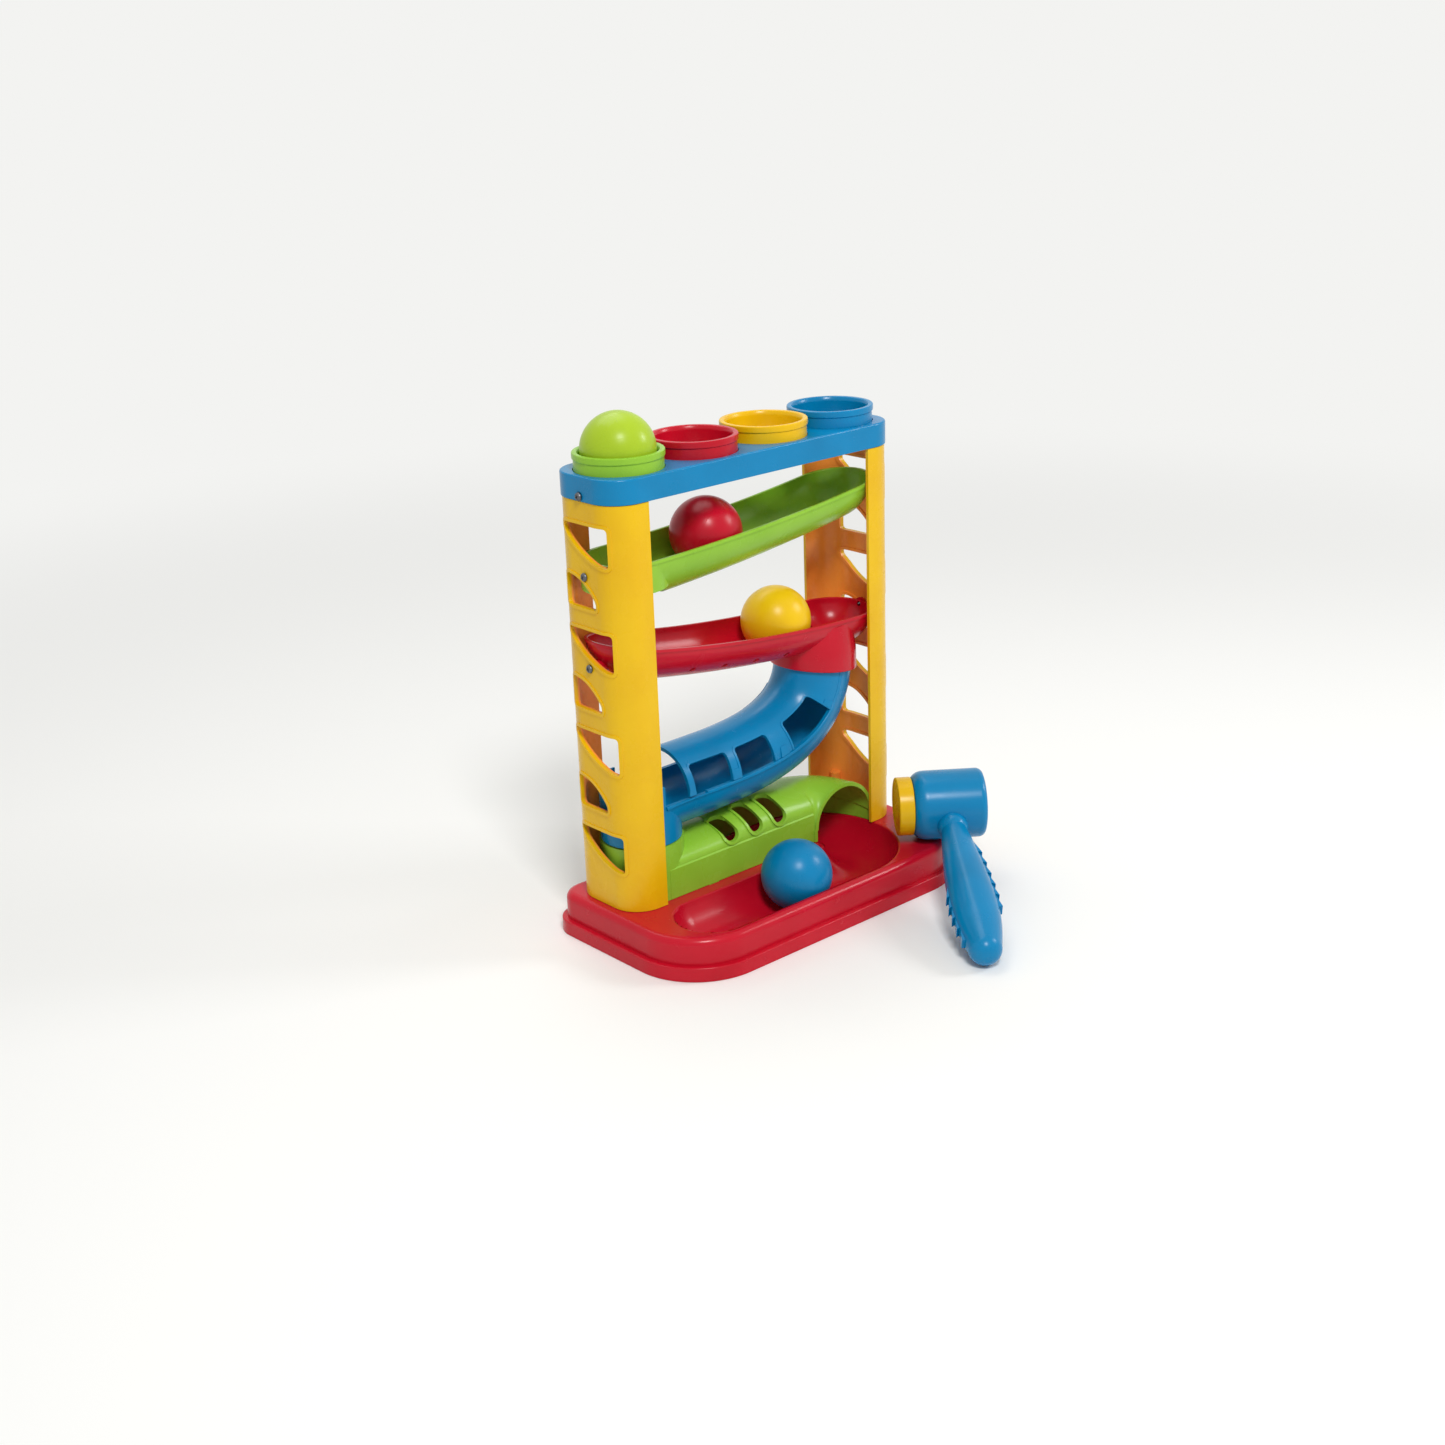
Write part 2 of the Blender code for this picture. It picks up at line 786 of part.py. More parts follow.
def add_lower_ramp():
    rim, floor = lower_rim_at, lower_floor_at
    heights = [ramp_screws()[side][1] for side in (-1, 1)]
    outer = gutter(-reach, reach, ramp_outer, rim, lambda x: floor(x) - ramp_wall, True, True)
    ramp = solid("lower_ramp", outer, red_finish)
    place = (drop_x, 0)
    combine(ramp, "bucket", upright(bucket_profile(ramp_outer - gap), place), "UNION")
    combine(ramp, "bosses", joined([end_boss(-1, heights[0]), end_boss(1, heights[1])]), "UNION")
    combine(ramp, "channel", gutter(-reach, reach, ramp_inner, rim, floor, True, True))
    low = inlet_z - 2 * bucket_straight
    combine(ramp, "drop", cylinder(collar_bore, inlet_z - overrun, rim(0), place))
    combine(ramp, "socket", cylinder(tube_outer + socket_room, low, inlet_z + gap, place))
    far = tube_outer + 2 * ramp_wall + overrun
    foot = inlet_z - bucket_straight
    slant = [(drop_x - far, foot + bucket_lift), (drop_x + far, foot), (drop_x + far, low), (drop_x - far, low)]
    combine(ramp, "slanted_foot", prism(slant, -far, far, "y"))
    combine(ramp, "trim", rim_trim(rim))
    combine(ramp, "drains", drains())
    combine(ramp, "screw_holes", joined([boss_hole(-1, heights[0]), boss_hole(1, heights[1])]))
    return ramp


# Tube


def tube_frame(t):
    """The frame of the tube's centre line: t is 0 at the inlet under the bucket, 1 at the spout."""
    first = Vector((drop_x, 0, inlet_z))
    last = Vector((-spout_x, 0, spout_z))
    second = first - Vector((0, 0, inlet_pull))
    third = last + Vector((math.cos(outlet_tilt), 0, math.sin(outlet_tilt))) * outlet_pull
    a, b, c, d = (1 - t) ** 3, 3 * t * (1 - t) ** 2, 3 * t * t * (1 - t), t ** 3
    point = first * a + second * b + third * c + last * d
    heading = (second - first) * (1 - t) ** 2 + (third - second) * 2 * t * (1 - t) + (last - third) * t * t
    heading.normalize()
    side = Vector((0, 1, 0))
    return point, side, side.cross(heading), 1.0


def tube_run(end=1):
    """Frames from the inlet to a share of the run. Both halves of the tube use the same stations."""
    shares = [i / tube_stations for i in range(tube_stations + 1)]
    return [tube_frame(share) for share in shares if share < end] + [tube_frame(end)]


def channel_section(lip):
    """The tube's lower half, solid, with a lip along the seam."""
    seam, out = -gap / 2, tube_outer + lip
    start = math.asin(tube_lip_height / tube_outer)
    round_part = arc((0, 0), tube_outer, math.pi + start, 2 * math.pi - start, arch_sides + 2)
    return [(-out, seam), (-out, -tube_lip_height)] + round_part + [(out, -tube_lip_height), (out, seam)]


def cover_section():
    outer = arc((0, gap / 2), tube_outer, 0, math.pi, arch_sides)
    inner = arc((0, gap / 2), tube_inner, math.pi, 0, arch_sides)
    return outer + inner


def pane(start, end, side):
    """The block that opens one window in the cover, from the seam up to window_arc."""
    low, high = -tube_lip / tube_outer, window_arc
    span = end - start
    corners = [(start, low), (start, high), (end, high), (end, low)]
    outline = [(start, low)]
    outline += rounded_pair(corners[0], corners[1], corners[2], span)
    steps = arch_sides // 2
    outline += [(start + span * i / steps, high) for i in range(1, steps)]
    outline += rounded_pair(corners[1], corners[2], corners[3], span)
    outline += [(end - span * i / steps, low) for i in range(steps)]
    rings = []
    for radius in (tube_inner - overrun, tube_outer + overrun):
        ring = []
        for t, turn in outline:
            point, across, up, _ = tube_frame(t)
            ring.append(point + across * side * radius * math.cos(turn) + up * radius * math.sin(turn))
        rings.append(ring)
    return loft(rings)


def rounded_pair(before, corner, after, span):
    """A rounded window corner, in steps of run and of turn."""
    run, turn = span * pane_round_share, window_arc * pane_round_share * 2
    first = (corner[0], corner[1] - turn) if before[0] == corner[0] else (corner[0] - run, corner[1])
    last = (corner[0] + run, corner[1]) if before[0] == corner[0] else (corner[0], corner[1] - turn)
    return [first] + curve_through(first, corner, last, 3) + [last]


def spout_cylinder(radius, low, high):
    return cylinder(radius, low, high, (-spout_x, 0))


def add_tube_channel():
    rings = []
    for i, (point, side, up, _) in enumerate(tube_run()):
        section = channel_section(tube_lip if i >= plain_stations else 0)
        rings.append([point + side * u + up * v for u, v in section])
    channel = solid("tube_channel", loft(rings), blue_finish)
    low = hoop_top + gap
    combine(channel, "spout", spout_cylinder(tube_outer - gap / 2, low, spout_z + spout_rise), "UNION")
    inside = swept(tube_run(), circle(tube_inner, shift=0))
    combine(channel, "inside", inside)
    over = swept([tube_frame(0)] + [(tube_frame(0)[0] + Vector((0, 0, overrun)), *tube_frame(0)[1:])],
                 circle(tube_inner, shift=0))
    combine(channel, "inlet", over)
    combine(channel, "hole", spout_cylinder(tube_inner - gap / 2, low - overrun, spout_z + 2 * spout_rise))
    far = tube_outer + overrun
    above = box((-spout_x, -spout_x + far), (-far, far), (spout_z + gap, spout_z + 2 * spout_rise))
    combine(channel, "mouth", above)
    return channel


def add_tube_cover():
    cover = solid("tube_cover", swept(tube_run(cover_end_share), cover_section()), blue_finish)
    panes = [pane(start, end, side) for start, end in window_run_shares for side in (-1, 1)]
    combine(cover, "windows", joined(panes))
    return cover


# Tunnel


def tunnel_outline(half, crease, top, foot):
    """Upright legs to the crease, then an arched roof."""
    crease_z = tunnel_foot + crease
    shoulder = crease_z - tunnel_step
    roofline = []
    for i in range(arch_sides + 1):
        turn = math.pi * i / arch_sides
        rise = (top - crease_z) * math.sin(turn)
        roofline.append(((half - tunnel_step) * math.cos(turn), crease_z + rise))
    return [(half, foot), (half, shoulder), *roofline, (-half, shoulder), (-half, foot)]


def tunnel_section(crease, top):
    inner = tunnel_outline(tunnel_half - tunnel_wall, crease, top - tunnel_wall, tunnel_foot)
    return tunnel_outline(tunnel_half, crease, top, tunnel_foot) + inner[::-1]


def tunnel_rings():
    """Sections from the left hoop to the arch, which opens to the front."""
    crease, spring = tunnel_crease, arch_spring
    turn_x = drop_x - arch_reach
    left_top = base_height + tunnel_roof * tunnel_left_roof_share
    exit_top = base_height + tunnel_roof * tunnel_exit_roof_share
    seam = -tunnel_seam_x
    straight = (
        (-spout_x, left_top, crease), (seam, left_top + tunnel_step, crease),
        (seam + gap, left_top + 2 * tunnel_step, crease), (seam / 2, tunnel_top, crease),
        (-seam / 2, tunnel_top, crease), (turn_x, (tunnel_top * 2 + exit_top) / 3, crease),
    )
    stations = [(x, 0, 0, top, fold) for x, top, fold in straight]
    steps = arch_sides // 2
    for i in range(1, steps + 1):
        turn = math.pi / 2 * i / steps
        share = i / steps
        x = turn_x + arch_reach * math.sin(turn)
        y = -arch_reach * (1 - math.cos(turn))
        top = stations[5][3] * (1 - share) + exit_top * share
        stations.append((x, y, -turn, top, crease * (1 - share) + spring * share))
    rings = []
    for x, y, heading, top, fold in stations:
        side = Vector((math.sin(heading), -math.cos(heading), 0))
        centre = Vector((x, y, 0))
        section = tunnel_section(fold, top)
        rings.append([centre + side * u + Vector((0, 0, v)) for u, v in section])
    return rings


def slot_outline(x):
    """A leaning slot with round ends, in X and Z."""
    low, high = base_height + slot_foot, tunnel_top + overrun
    r = slot_width / 2
    foot = arc((x, low + r), r, math.pi, 2 * math.pi, corner_steps)
    return foot + [(x + r - slot_lean, high), (x - r - slot_lean, high)]


def add_tunnel():
    tunnel = solid("tunnel", loft(tunnel_rings()), green_finish)
    hoop = cylinder(tunnel_half - gap / 2, tunnel_foot, hoop_top, (-spout_x, 0))
    inner = cylinder(track_radius - gap, tunnel_foot - overrun, hoop_top + overrun, (-spout_x, 0))
    combine(tunnel, "hoop", hoop, "UNION")
    combine(tunnel, "drop", inner)
    slots = []
    for i in range(slot_count):
        x = i * slot_pitch - slot_first_x
        slots.append(prism(slot_outline(x), -tunnel_half - overrun, -tunnel_half + slot_depth, "y"))
    combine(tunnel, "slots", joined(slots))
    roof = base_height + tunnel_roof * tunnel_left_roof_share - tunnel_wall - gap
    way = tunnel_outline(track_radius - gap, tunnel_crease, roof, tunnel_foot - overrun)
    combine(tunnel, "passage", prism(way, -spout_x, -tunnel_seam_x, "x"))
    wide, thick = tab_width / 2, tunnel_wall / 2 - gap / 3
    low, high = tunnel_foot - tab_depth, tunnel_foot + tab_depth
    tabs = [box((x - wide, x + wide), (y - thick, y + thick), (low, high)) for x, y in tab_places()]
    combine(tunnel, "tabs", joined(tabs), "UNION")
    return tunnel


# Balls


def add_ball(name, centre, finish, parent=None):
    """A ball, centred on its own origin."""
    mesh = bpy.data.meshes.new(name)
    ball = bmesh.new()
    bmesh.ops.create_uvsphere(ball, u_segments=ball_sides, v_segments=ball_rings, radius=ball_radius)
    ball.to_mesh(mesh)
    ball.free()
    mesh.shade_smooth()
    made = bpy.data.objects.new(name, mesh)
    bpy.context.scene.collection.objects.link(made)
    mesh.materials.append(material(name + "_finish", *finish))
    made.parent = parent
    made.location = centre
    return made


def rolling_ball(name, x, height, slope, radius, finish):
    """A ball on a ramp's floor, under an empty at the centre of the floor's arc, round which it rolls."""
    centre = arc_centre(height, slope, radius)
    pivot = bpy.data.objects.new(name + "_path", None)
    bpy.context.scene.collection.objects.link(pivot)
    pivot.location = centre
    lift = radius - ball_radius - gap
    along = x - centre.x
    add_ball(name, (along, 0, -math.sqrt(lift ** 2 - along ** 2)), finish, pivot)


def add_balls():
    add_ball("lime_ball", (-reach, 0, lime_ball_z), lime_finish)
    rolling_ball("red_ball", red_ball_x, upper_floor_at(0), upper_floor_slope_share, upper_radius, red_finish)
    rolling_ball("yellow_ball", yellow_ball_x, lower_floor_at(0), lower_slope_share, lower_radius, yellow_finish)
    add_ball("blue_ball", (blue_ball_x, trough_y, track_floor + gap + ball_radius), blue_finish)


# Hammer


def add_hammer():
    """The hammer lies with its head on the base's corner and its handle's tip on the floor."""
    pose = bpy.data.objects.new("hammer_pose", None)
    bpy.context.scene.collection.objects.link(pose)
    pose.location = (hammer_x, hammer_y, hammer_z)
    turn = Matrix.Rotation(hammer_turn, 3, "Z") @ Matrix.Rotation(hammer_tilt, 3, "X")
    pose.rotation_euler = turn.to_euler()
    half = barrel_length / 2
    profile = [(half + barrel_crown, barrel_radius / 2), (half, barrel_radius - barrel_crown)]
    profile += [(half - barrel_crown, barrel_radius), (-half + barrel_round, barrel_radius)]
    for i in range(1, corner_steps):
        t = math.pi / 2 * i / (corner_steps - 1)
        profile.append((-half + barrel_round * (1 - math.sin(t)), barrel_radius - barrel_round * (1 - math.cos(t))))
    barrel = solid("hammer_barrel", turned_solid(profile), blue_finish, pose)
    seat = [(-half - overrun, cap_spigot_radius + gap), (-half + cap_spigot + gap, cap_spigot_radius + gap)]
    combine(barrel, "cap_seat", turned_solid(seat))
    root = barrel_radius - handle_socket
    combine(barrel, "socket", cylinder(neck_radius + gap, -barrel_radius - overrun, -root + gap, along="y"))
    face, end = -half - gap, -half - gap - cap_thickness
    cap = [(face + cap_spigot, cap_spigot_radius), (face, cap_spigot_radius), (face, cap_radius),
           (end + cap_round, cap_radius), (end, cap_radius - cap_round)]
    solid("hammer_cap", turned_solid(cap), yellow_finish, pose)
    add_handle(pose, root)


def handle_half_width(share):
    """The grip's half width at a share of the handle's length."""
    table = grip_stations_shares
    for (a, wide_a, _), (b, wide_b, _) in zip(table, table[1:]):
        if share <= b:
            return grip_half_width * (wide_a + (wide_b - wide_a) * (share - a) / (b - a))
    return grip_half_width * table[-1][1]


def fins(side):
    """Saw teeth along one flank of the grip, each with its point towards the tip."""
    inner, outer = [], []
    step = (fin_end_share - fin_start_share) / fin_count
    for i in range(fin_count):
        start, end = fin_start_share + i * step, fin_start_share + (i + 1) * step
        outer.append((side * (handle_half_width(start) - fine_step), -start * handle_length))
        outer.append((side * (handle_half_width(end) + fin_reach), -end * handle_length))
        inner.append((side * handle_half_width(start) / 2, -start * handle_length))
    inner.append((side * handle_half_width(fin_end_share) / 2, -fin_end_share * handle_length))
    thick = grip_half_thickness * fin_thickness_share
    return prism(outer + inner[::-1], -thick, thick)


def add_handle(pose, root):
    rings = []
    places = [(root, neck_radius, neck_radius), (barrel_radius + fine_step, neck_radius, neck_radius)]
    for share, wide, thick in grip_stations_shares[1:]:
        places.append((share * handle_length, wide * grip_half_width, thick * grip_half_thickness))
    end = handle_length - tip_radius
    for i in range(corner_steps):
        turn = math.pi / 2 * i / (corner_steps - 1 / corner_steps)
        places.append((end + tip_radius * math.sin(turn), tip_radius * math.cos(turn), tip_radius * math.cos(turn)))
    for along, wide, thick in places:
        unit = circle(1, grip_sides)
        rings.append([(u * wide, -along, v * thick) for u, v in unit])
    handle = solid("hammer_handle", loft(rings), blue_finish, pose)
    combine(handle, "fins", joined([fins(-1), fins(1)]), "UNION")


# Screws


def add_screw(name, seat, direction, length):
    """A pan head screw: its head's underside is at the seat, and its shank runs along direction."""
    slope = screw_radius
    profile = [(-screw_head_height, screw_head_radius * 3 / 4), (-screw_head_height / 2, screw_head_radius),
               (0, screw_head_radius), (0, screw_radius), (length - slope, screw_radius), (length, screw_radius / 4)]
    screw = solid(name, turned_solid(profile, screw_sides), steel_finish)
    screw.rotation_mode = "QUATERNION"
    screw.rotation_quaternion = Vector(direction).to_track_quat("X", "Z")
    screw.location = seat
    return screw


def add_screws():
    for side, word in ((-1, "left"), (1, "right")):
        inward = (-side, 0, 0)
        upper, lower = ramp_screws()[side]
        seat = side * (column_end + gap)
        add_screw(f"upper_ramp_screw_{word}", (seat, 0, upper), inward, side_screw_length)
        add_screw(f"lower_ramp_screw_{word}", (seat, 0, lower), inward, side_screw_length)
        seat = side * (column_end + rail_overhang + gap)
        add_screw(f"rail_screw_{word}", (seat, 0, rail_screw_z()), inward, side_screw_length - column_wall)
        for y, place in ((-foot_screw_y, "front"), (foot_screw_y, "back")):
            point = (side * foot_screw_x, y, boss_drop - gap)
            add_screw(f"foot_screw_{word}_{place}", point, (0, 0, 1), foot_screw_length)


red_finish = ((0.62, 0.012, 0.032), 0.25)
yellow_finish = ((0.85, 0.53, 0.012), 0.28)
blue_finish = ((0.0, 0.21, 0.49), 0.25)
green_finish = ((0.26, 0.51, 0.045), 0.28)
lime_finish = ((0.34, 0.60, 0.03), 0.25)
steel_finish = ((0.55, 0.55, 0.56), 0.35, 1.0)


def main():
    for old in list(bpy.data.objects):
        bpy.data.objects.remove(old)
    add_base()
    add_column("left_column", -1)
    add_column("right_column", 1)
    add_rail()
    colours = (("green", green_finish), ("red", red_finish), ("yellow", yellow_finish), ("blue", blue_finish))
    for (colour, finish), place in zip(colours, collar_places()):
        add_collar(f"{colour}_collar", place, finish)
        add_finger_ring(f"{colour}_finger_ring", place, finish)
    add_upper_ramp()
    add_lower_ramp()
    add_tube_channel()
    add_tube_cover()
    add_tunnel()
    add_balls()
    add_hammer()
    add_screws()


main()
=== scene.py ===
import math
import bmesh
import bpy
from mathutils import Matrix, Vector


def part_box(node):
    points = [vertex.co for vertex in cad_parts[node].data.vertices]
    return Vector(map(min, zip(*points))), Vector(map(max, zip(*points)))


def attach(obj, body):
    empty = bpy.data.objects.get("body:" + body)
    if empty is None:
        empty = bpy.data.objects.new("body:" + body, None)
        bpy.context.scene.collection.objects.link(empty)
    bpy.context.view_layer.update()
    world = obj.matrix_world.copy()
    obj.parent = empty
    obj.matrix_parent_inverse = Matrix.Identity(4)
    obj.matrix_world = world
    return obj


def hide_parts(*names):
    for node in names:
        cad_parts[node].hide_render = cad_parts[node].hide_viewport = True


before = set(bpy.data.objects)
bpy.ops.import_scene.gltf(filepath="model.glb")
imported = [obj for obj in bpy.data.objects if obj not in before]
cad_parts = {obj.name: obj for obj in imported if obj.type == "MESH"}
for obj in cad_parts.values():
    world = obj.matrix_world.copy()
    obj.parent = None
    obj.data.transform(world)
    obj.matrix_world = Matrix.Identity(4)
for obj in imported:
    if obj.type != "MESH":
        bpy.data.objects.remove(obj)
for leftover in ("Cube", "Light", "Camera"):
    if leftover in bpy.data.objects:
        bpy.data.objects.remove(bpy.data.objects[leftover])
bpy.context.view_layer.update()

# Every size below is in millimetres. settle() brings a finished piece to metres.


# Selecting and editing

def only(*pieces):
    bpy.ops.object.select_all(action="DESELECT")
    for piece in pieces:
        piece.select_set(True)
    bpy.context.view_layer.objects.active = pieces[0]


def edit(piece):
    only(piece)
    bpy.ops.object.mode_set(mode="EDIT")
    bpy.ops.mesh.select_mode(type="VERT")
    bpy.ops.mesh.select_all(action="SELECT")


def leave():
    bpy.ops.object.mode_set(mode="OBJECT")
    return bpy.context.active_object


def swing(turn, axis):
    # Turns what is selected about an axis through the origin.
    bpy.ops.transform.rotate(value=turn, orient_axis=axis, center_override=(0, 0, 0))


def pull(step):
    bpy.ops.mesh.extrude_region_move(TRANSFORM_OT_translate={"value": step})


def pick(kind, test):
    # Selects what passes the test: "verts", "edges" or "faces".
    bpy.ops.mesh.select_mode(type={"verts": "VERT", "edges": "EDGE", "faces": "FACE"}[kind])
    bpy.ops.mesh.select_all(action="DESELECT")
    data = bpy.context.edit_object.data
    mesh = bmesh.from_edit_mesh(data)
    for item in getattr(mesh, kind):
        if test(item):
            item.select_set(True)
    mesh.select_flush_mode()
    bmesh.update_edit_mesh(data)


def level(z):
    # A test for edges and faces that lie at one height.
    return lambda item: all(abs(vert.co.z - z) < 0.01 for vert in item.verts)


def upright(edge):
    first, last = (vert.co for vert in edge.verts)
    return (first.xy - last.xy).length < 0.01


def chain(name, points, closed=""):
    # Vertices extruded one after the other. closed: "" is open, "edge" closes the loop, "face" fills it.
    bpy.ops.object.select_all(action="DESELECT")
    bpy.ops.mesh.primitive_plane_add(size=1, location=(0, 0, 0))
    piece = bpy.context.active_object
    piece.name = name
    edit(piece)
    bpy.ops.mesh.merge(type="CENTER")
    bpy.ops.transform.translate(value=points[0])
    for here, there in zip(points, points[1:]):
        step = Vector(there) - Vector(here)
        bpy.ops.mesh.extrude_vertices_move(TRANSFORM_OT_translate={"value": step})
    if closed:
        bpy.ops.mesh.select_all(action="SELECT")
        bpy.ops.mesh.edge_face_add()
    if closed == "edge":
        bpy.ops.mesh.delete(type="ONLY_FACE")
    return leave()


def soft(corners, steps=5):
    # Rounds an outline of (u, v, radius). A radius of None pulls one long curve past that point.
    places = [Vector(corner[:2]) for corner in corners]
    points = []
    for i, (u, v, radius) in enumerate(corners):
        before, here, after = places[i - 1], places[i], places[(i + 1) % len(places)]
        count = steps
        if radius is None:
            count = 3 * steps
            start = before.lerp(here, corners[i - 1][2] / (before - here).length)
            end = after.lerp(here, corners[(i + 1) % len(corners)][2] / (after - here).length)
        elif radius == 0:
            points.append(tuple(here))
            continue
        else:
            start = here + (before - here).normalized() * min(radius, (before - here).length / 2.01)
            end = here + (after - here).normalized() * min(radius, (after - here).length / 2.01)
        for k in range(count + 1):
            t = k / count
            spot = start * (1 - t) ** 2 + here * 2 * t * (1 - t) + end * t * t
            if not points or (spot - Vector(points[-1])).length > 0.02:
                points.append(tuple(spot))
    return points


def turned(name, corners, sides, centre=(0, 0)):
    # A closed profile of (radius, height, rounding), drawn as a chain and spun about the upright axis.
    piece = chain(name, [(r, 0, z) for r, z in soft(corners, 3)], "edge")
    edit(piece)
    bpy.ops.mesh.spin(steps=sides, angle=2 * math.pi, center=(0, 0, 0), axis=(0, 0, 1))
    tidy()
    bpy.ops.transform.translate(value=(*centre, 0))
    return leave()


def tidy():
    bpy.ops.mesh.select_all(action="SELECT")
    bpy.ops.mesh.remove_doubles(threshold=0.002)
    bpy.ops.mesh.dissolve_degenerate(threshold=0.001)
    bpy.ops.mesh.delete_loose()
    bpy.ops.mesh.select_all(action="SELECT")
    bpy.ops.mesh.normals_make_consistent(inside=False)


def raised(name, outline, step):
    # An outline filled and extruded along step.
    piece = chain(name, outline, "face")
    edit(piece)
    pull(step)
    tidy()
    return leave()


def block(name, low, high):
    bpy.ops.object.select_all(action="DESELECT")
    bpy.ops.mesh.primitive_cube_add(size=1, location=(0, 0, 0))
    piece = bpy.context.active_object
    piece.name = name
    edit(piece)
    bpy.ops.transform.resize(value=[b - a for a, b in zip(low, high)])
    bpy.ops.transform.translate(value=[(a + b) / 2 for a, b in zip(low, high)])
    return leave()


def rod(name, radius, low, high, sides, centre=(0, 0), along="Z"):
    # A capped cylinder between two stations of an axis. centre holds the other two axes in order.
    bpy.ops.object.select_all(action="DESELECT")
    bpy.ops.mesh.primitive_cylinder_add(vertices=sides, radius=radius, depth=high - low)
    piece = bpy.context.active_object
    piece.name = name
    middle = (low + high) / 2
    edit(piece)
    if along == "X":
        swing(math.pi / 2, "Y")
        bpy.ops.transform.translate(value=(middle, *centre))
    elif along == "Y":
        swing(math.pi / 2, "X")
        bpy.ops.transform.translate(value=(centre[0], middle, centre[1]))
    else:
        bpy.ops.transform.translate(value=(*centre, middle))
    return leave()


def joined(pieces):
    if len(pieces) > 1:
        only(*pieces)
        bpy.ops.object.join()
    return pieces[0]


def copied(piece, name):
    twin = piece.copy()
    twin.data = piece.data.copy()
    twin.name = name
    bpy.context.scene.collection.objects.link(twin)
    return twin


def combine(piece, tool, how="DIFFERENCE"):
    only(piece)
    change = piece.modifiers.new("change", "BOOLEAN")
    change.operation, change.object, change.solver = how, tool, "EXACT"
    bpy.ops.object.modifier_apply(modifier="change")
    bpy.data.objects.remove(tool)
    edit(piece)
    bpy.ops.mesh.remove_doubles(threshold=0.001)
    bpy.ops.mesh.dissolve_degenerate(threshold=0.001)
    return leave()


def bevelAngles(piece, width, segments=2, angle=60):
    only(piece)
    change = piece.modifiers.new("edges", "BEVEL")
    change.width, change.segments = width, segments
    change.limit_method, change.angle_limit = "ANGLE", math.radians(angle)
    bpy.ops.object.modifier_apply(modifier="edges")
    return piece


def skinned(name, rows, looped=False, openRows=False):
    # Rows of as many points, joined by quads. For shapes whose section changes along a curved run.
    count = len(rows[0])
    faces = []
    for row in range(len(rows) - (not looped)):
        here, there = row * count, (row + 1) % len(rows) * count
        for i in range(count - openRows):
            j = (i + 1) % count
            faces.append([here + i, here + j, there + j, there + i])
    if not looped and not openRows:
        faces.append(list(range(count)))
        faces.append([(len(rows) - 1) * count + i for i in range(count)])
    data = bpy.data.meshes.new(name)
    data.from_pydata([tuple(point) for row in rows for point in row], [], faces)
    piece = bpy.data.objects.new(name, data)
    bpy.context.scene.collection.objects.link(piece)
    edit(piece)
    tidy()
    return leave()


def settle(piece, finish, node, body="tower", angle=32):
    # Shades the piece, brings it to metres and puts it in the node's place.
    only(piece)
    piece.data.materials.clear()
    piece.data.materials.append(finish)
    for face in piece.data.polygons:
        face.material_index = 0
    piece.scale = (0.001, 0.001, 0.001)
    bpy.ops.object.transform_apply(location=True, rotation=True, scale=True)
    bpy.ops.object.shade_smooth_by_angle(angle=math.radians(angle))
    weigh = piece.modifiers.new("weigh", "WEIGHTED_NORMAL")
    weigh.keep_sharp = True
    bpy.ops.object.modifier_apply(modifier="weigh")
    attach(piece, body)
    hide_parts(node)
    return piece


def middle(node):
    low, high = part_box(node)
    return (low + high) * 500


# Materials

def hexColour(text):
    parts = [int(text[i:i + 2], 16) / 255 for i in (1, 3, 5)]
    return [part / 12.92 if part <= 0.04045 else ((part + 0.055) / 1.055) ** 2.4 for part in parts] + [1]


def addNode(tree, kind, settings, links):
    node = tree.nodes.new("ShaderNode" + kind)
    for key, value in settings.items():
        if isinstance(key, int) or key in node.inputs:
            node.inputs[key].default_value = value
        else:
            setattr(node, key, value)
    for key, source in links.items():
        tree.links.new(source, node.inputs[key])
    return node


def perMetre(millimetres):
    return 1000 / millimetres


def newFinish(name):
    finish = bpy.data.materials.new(name)
    finish.use_nodes = True
    return finish, finish.node_tree, finish.node_tree.nodes["Principled BSDF"]


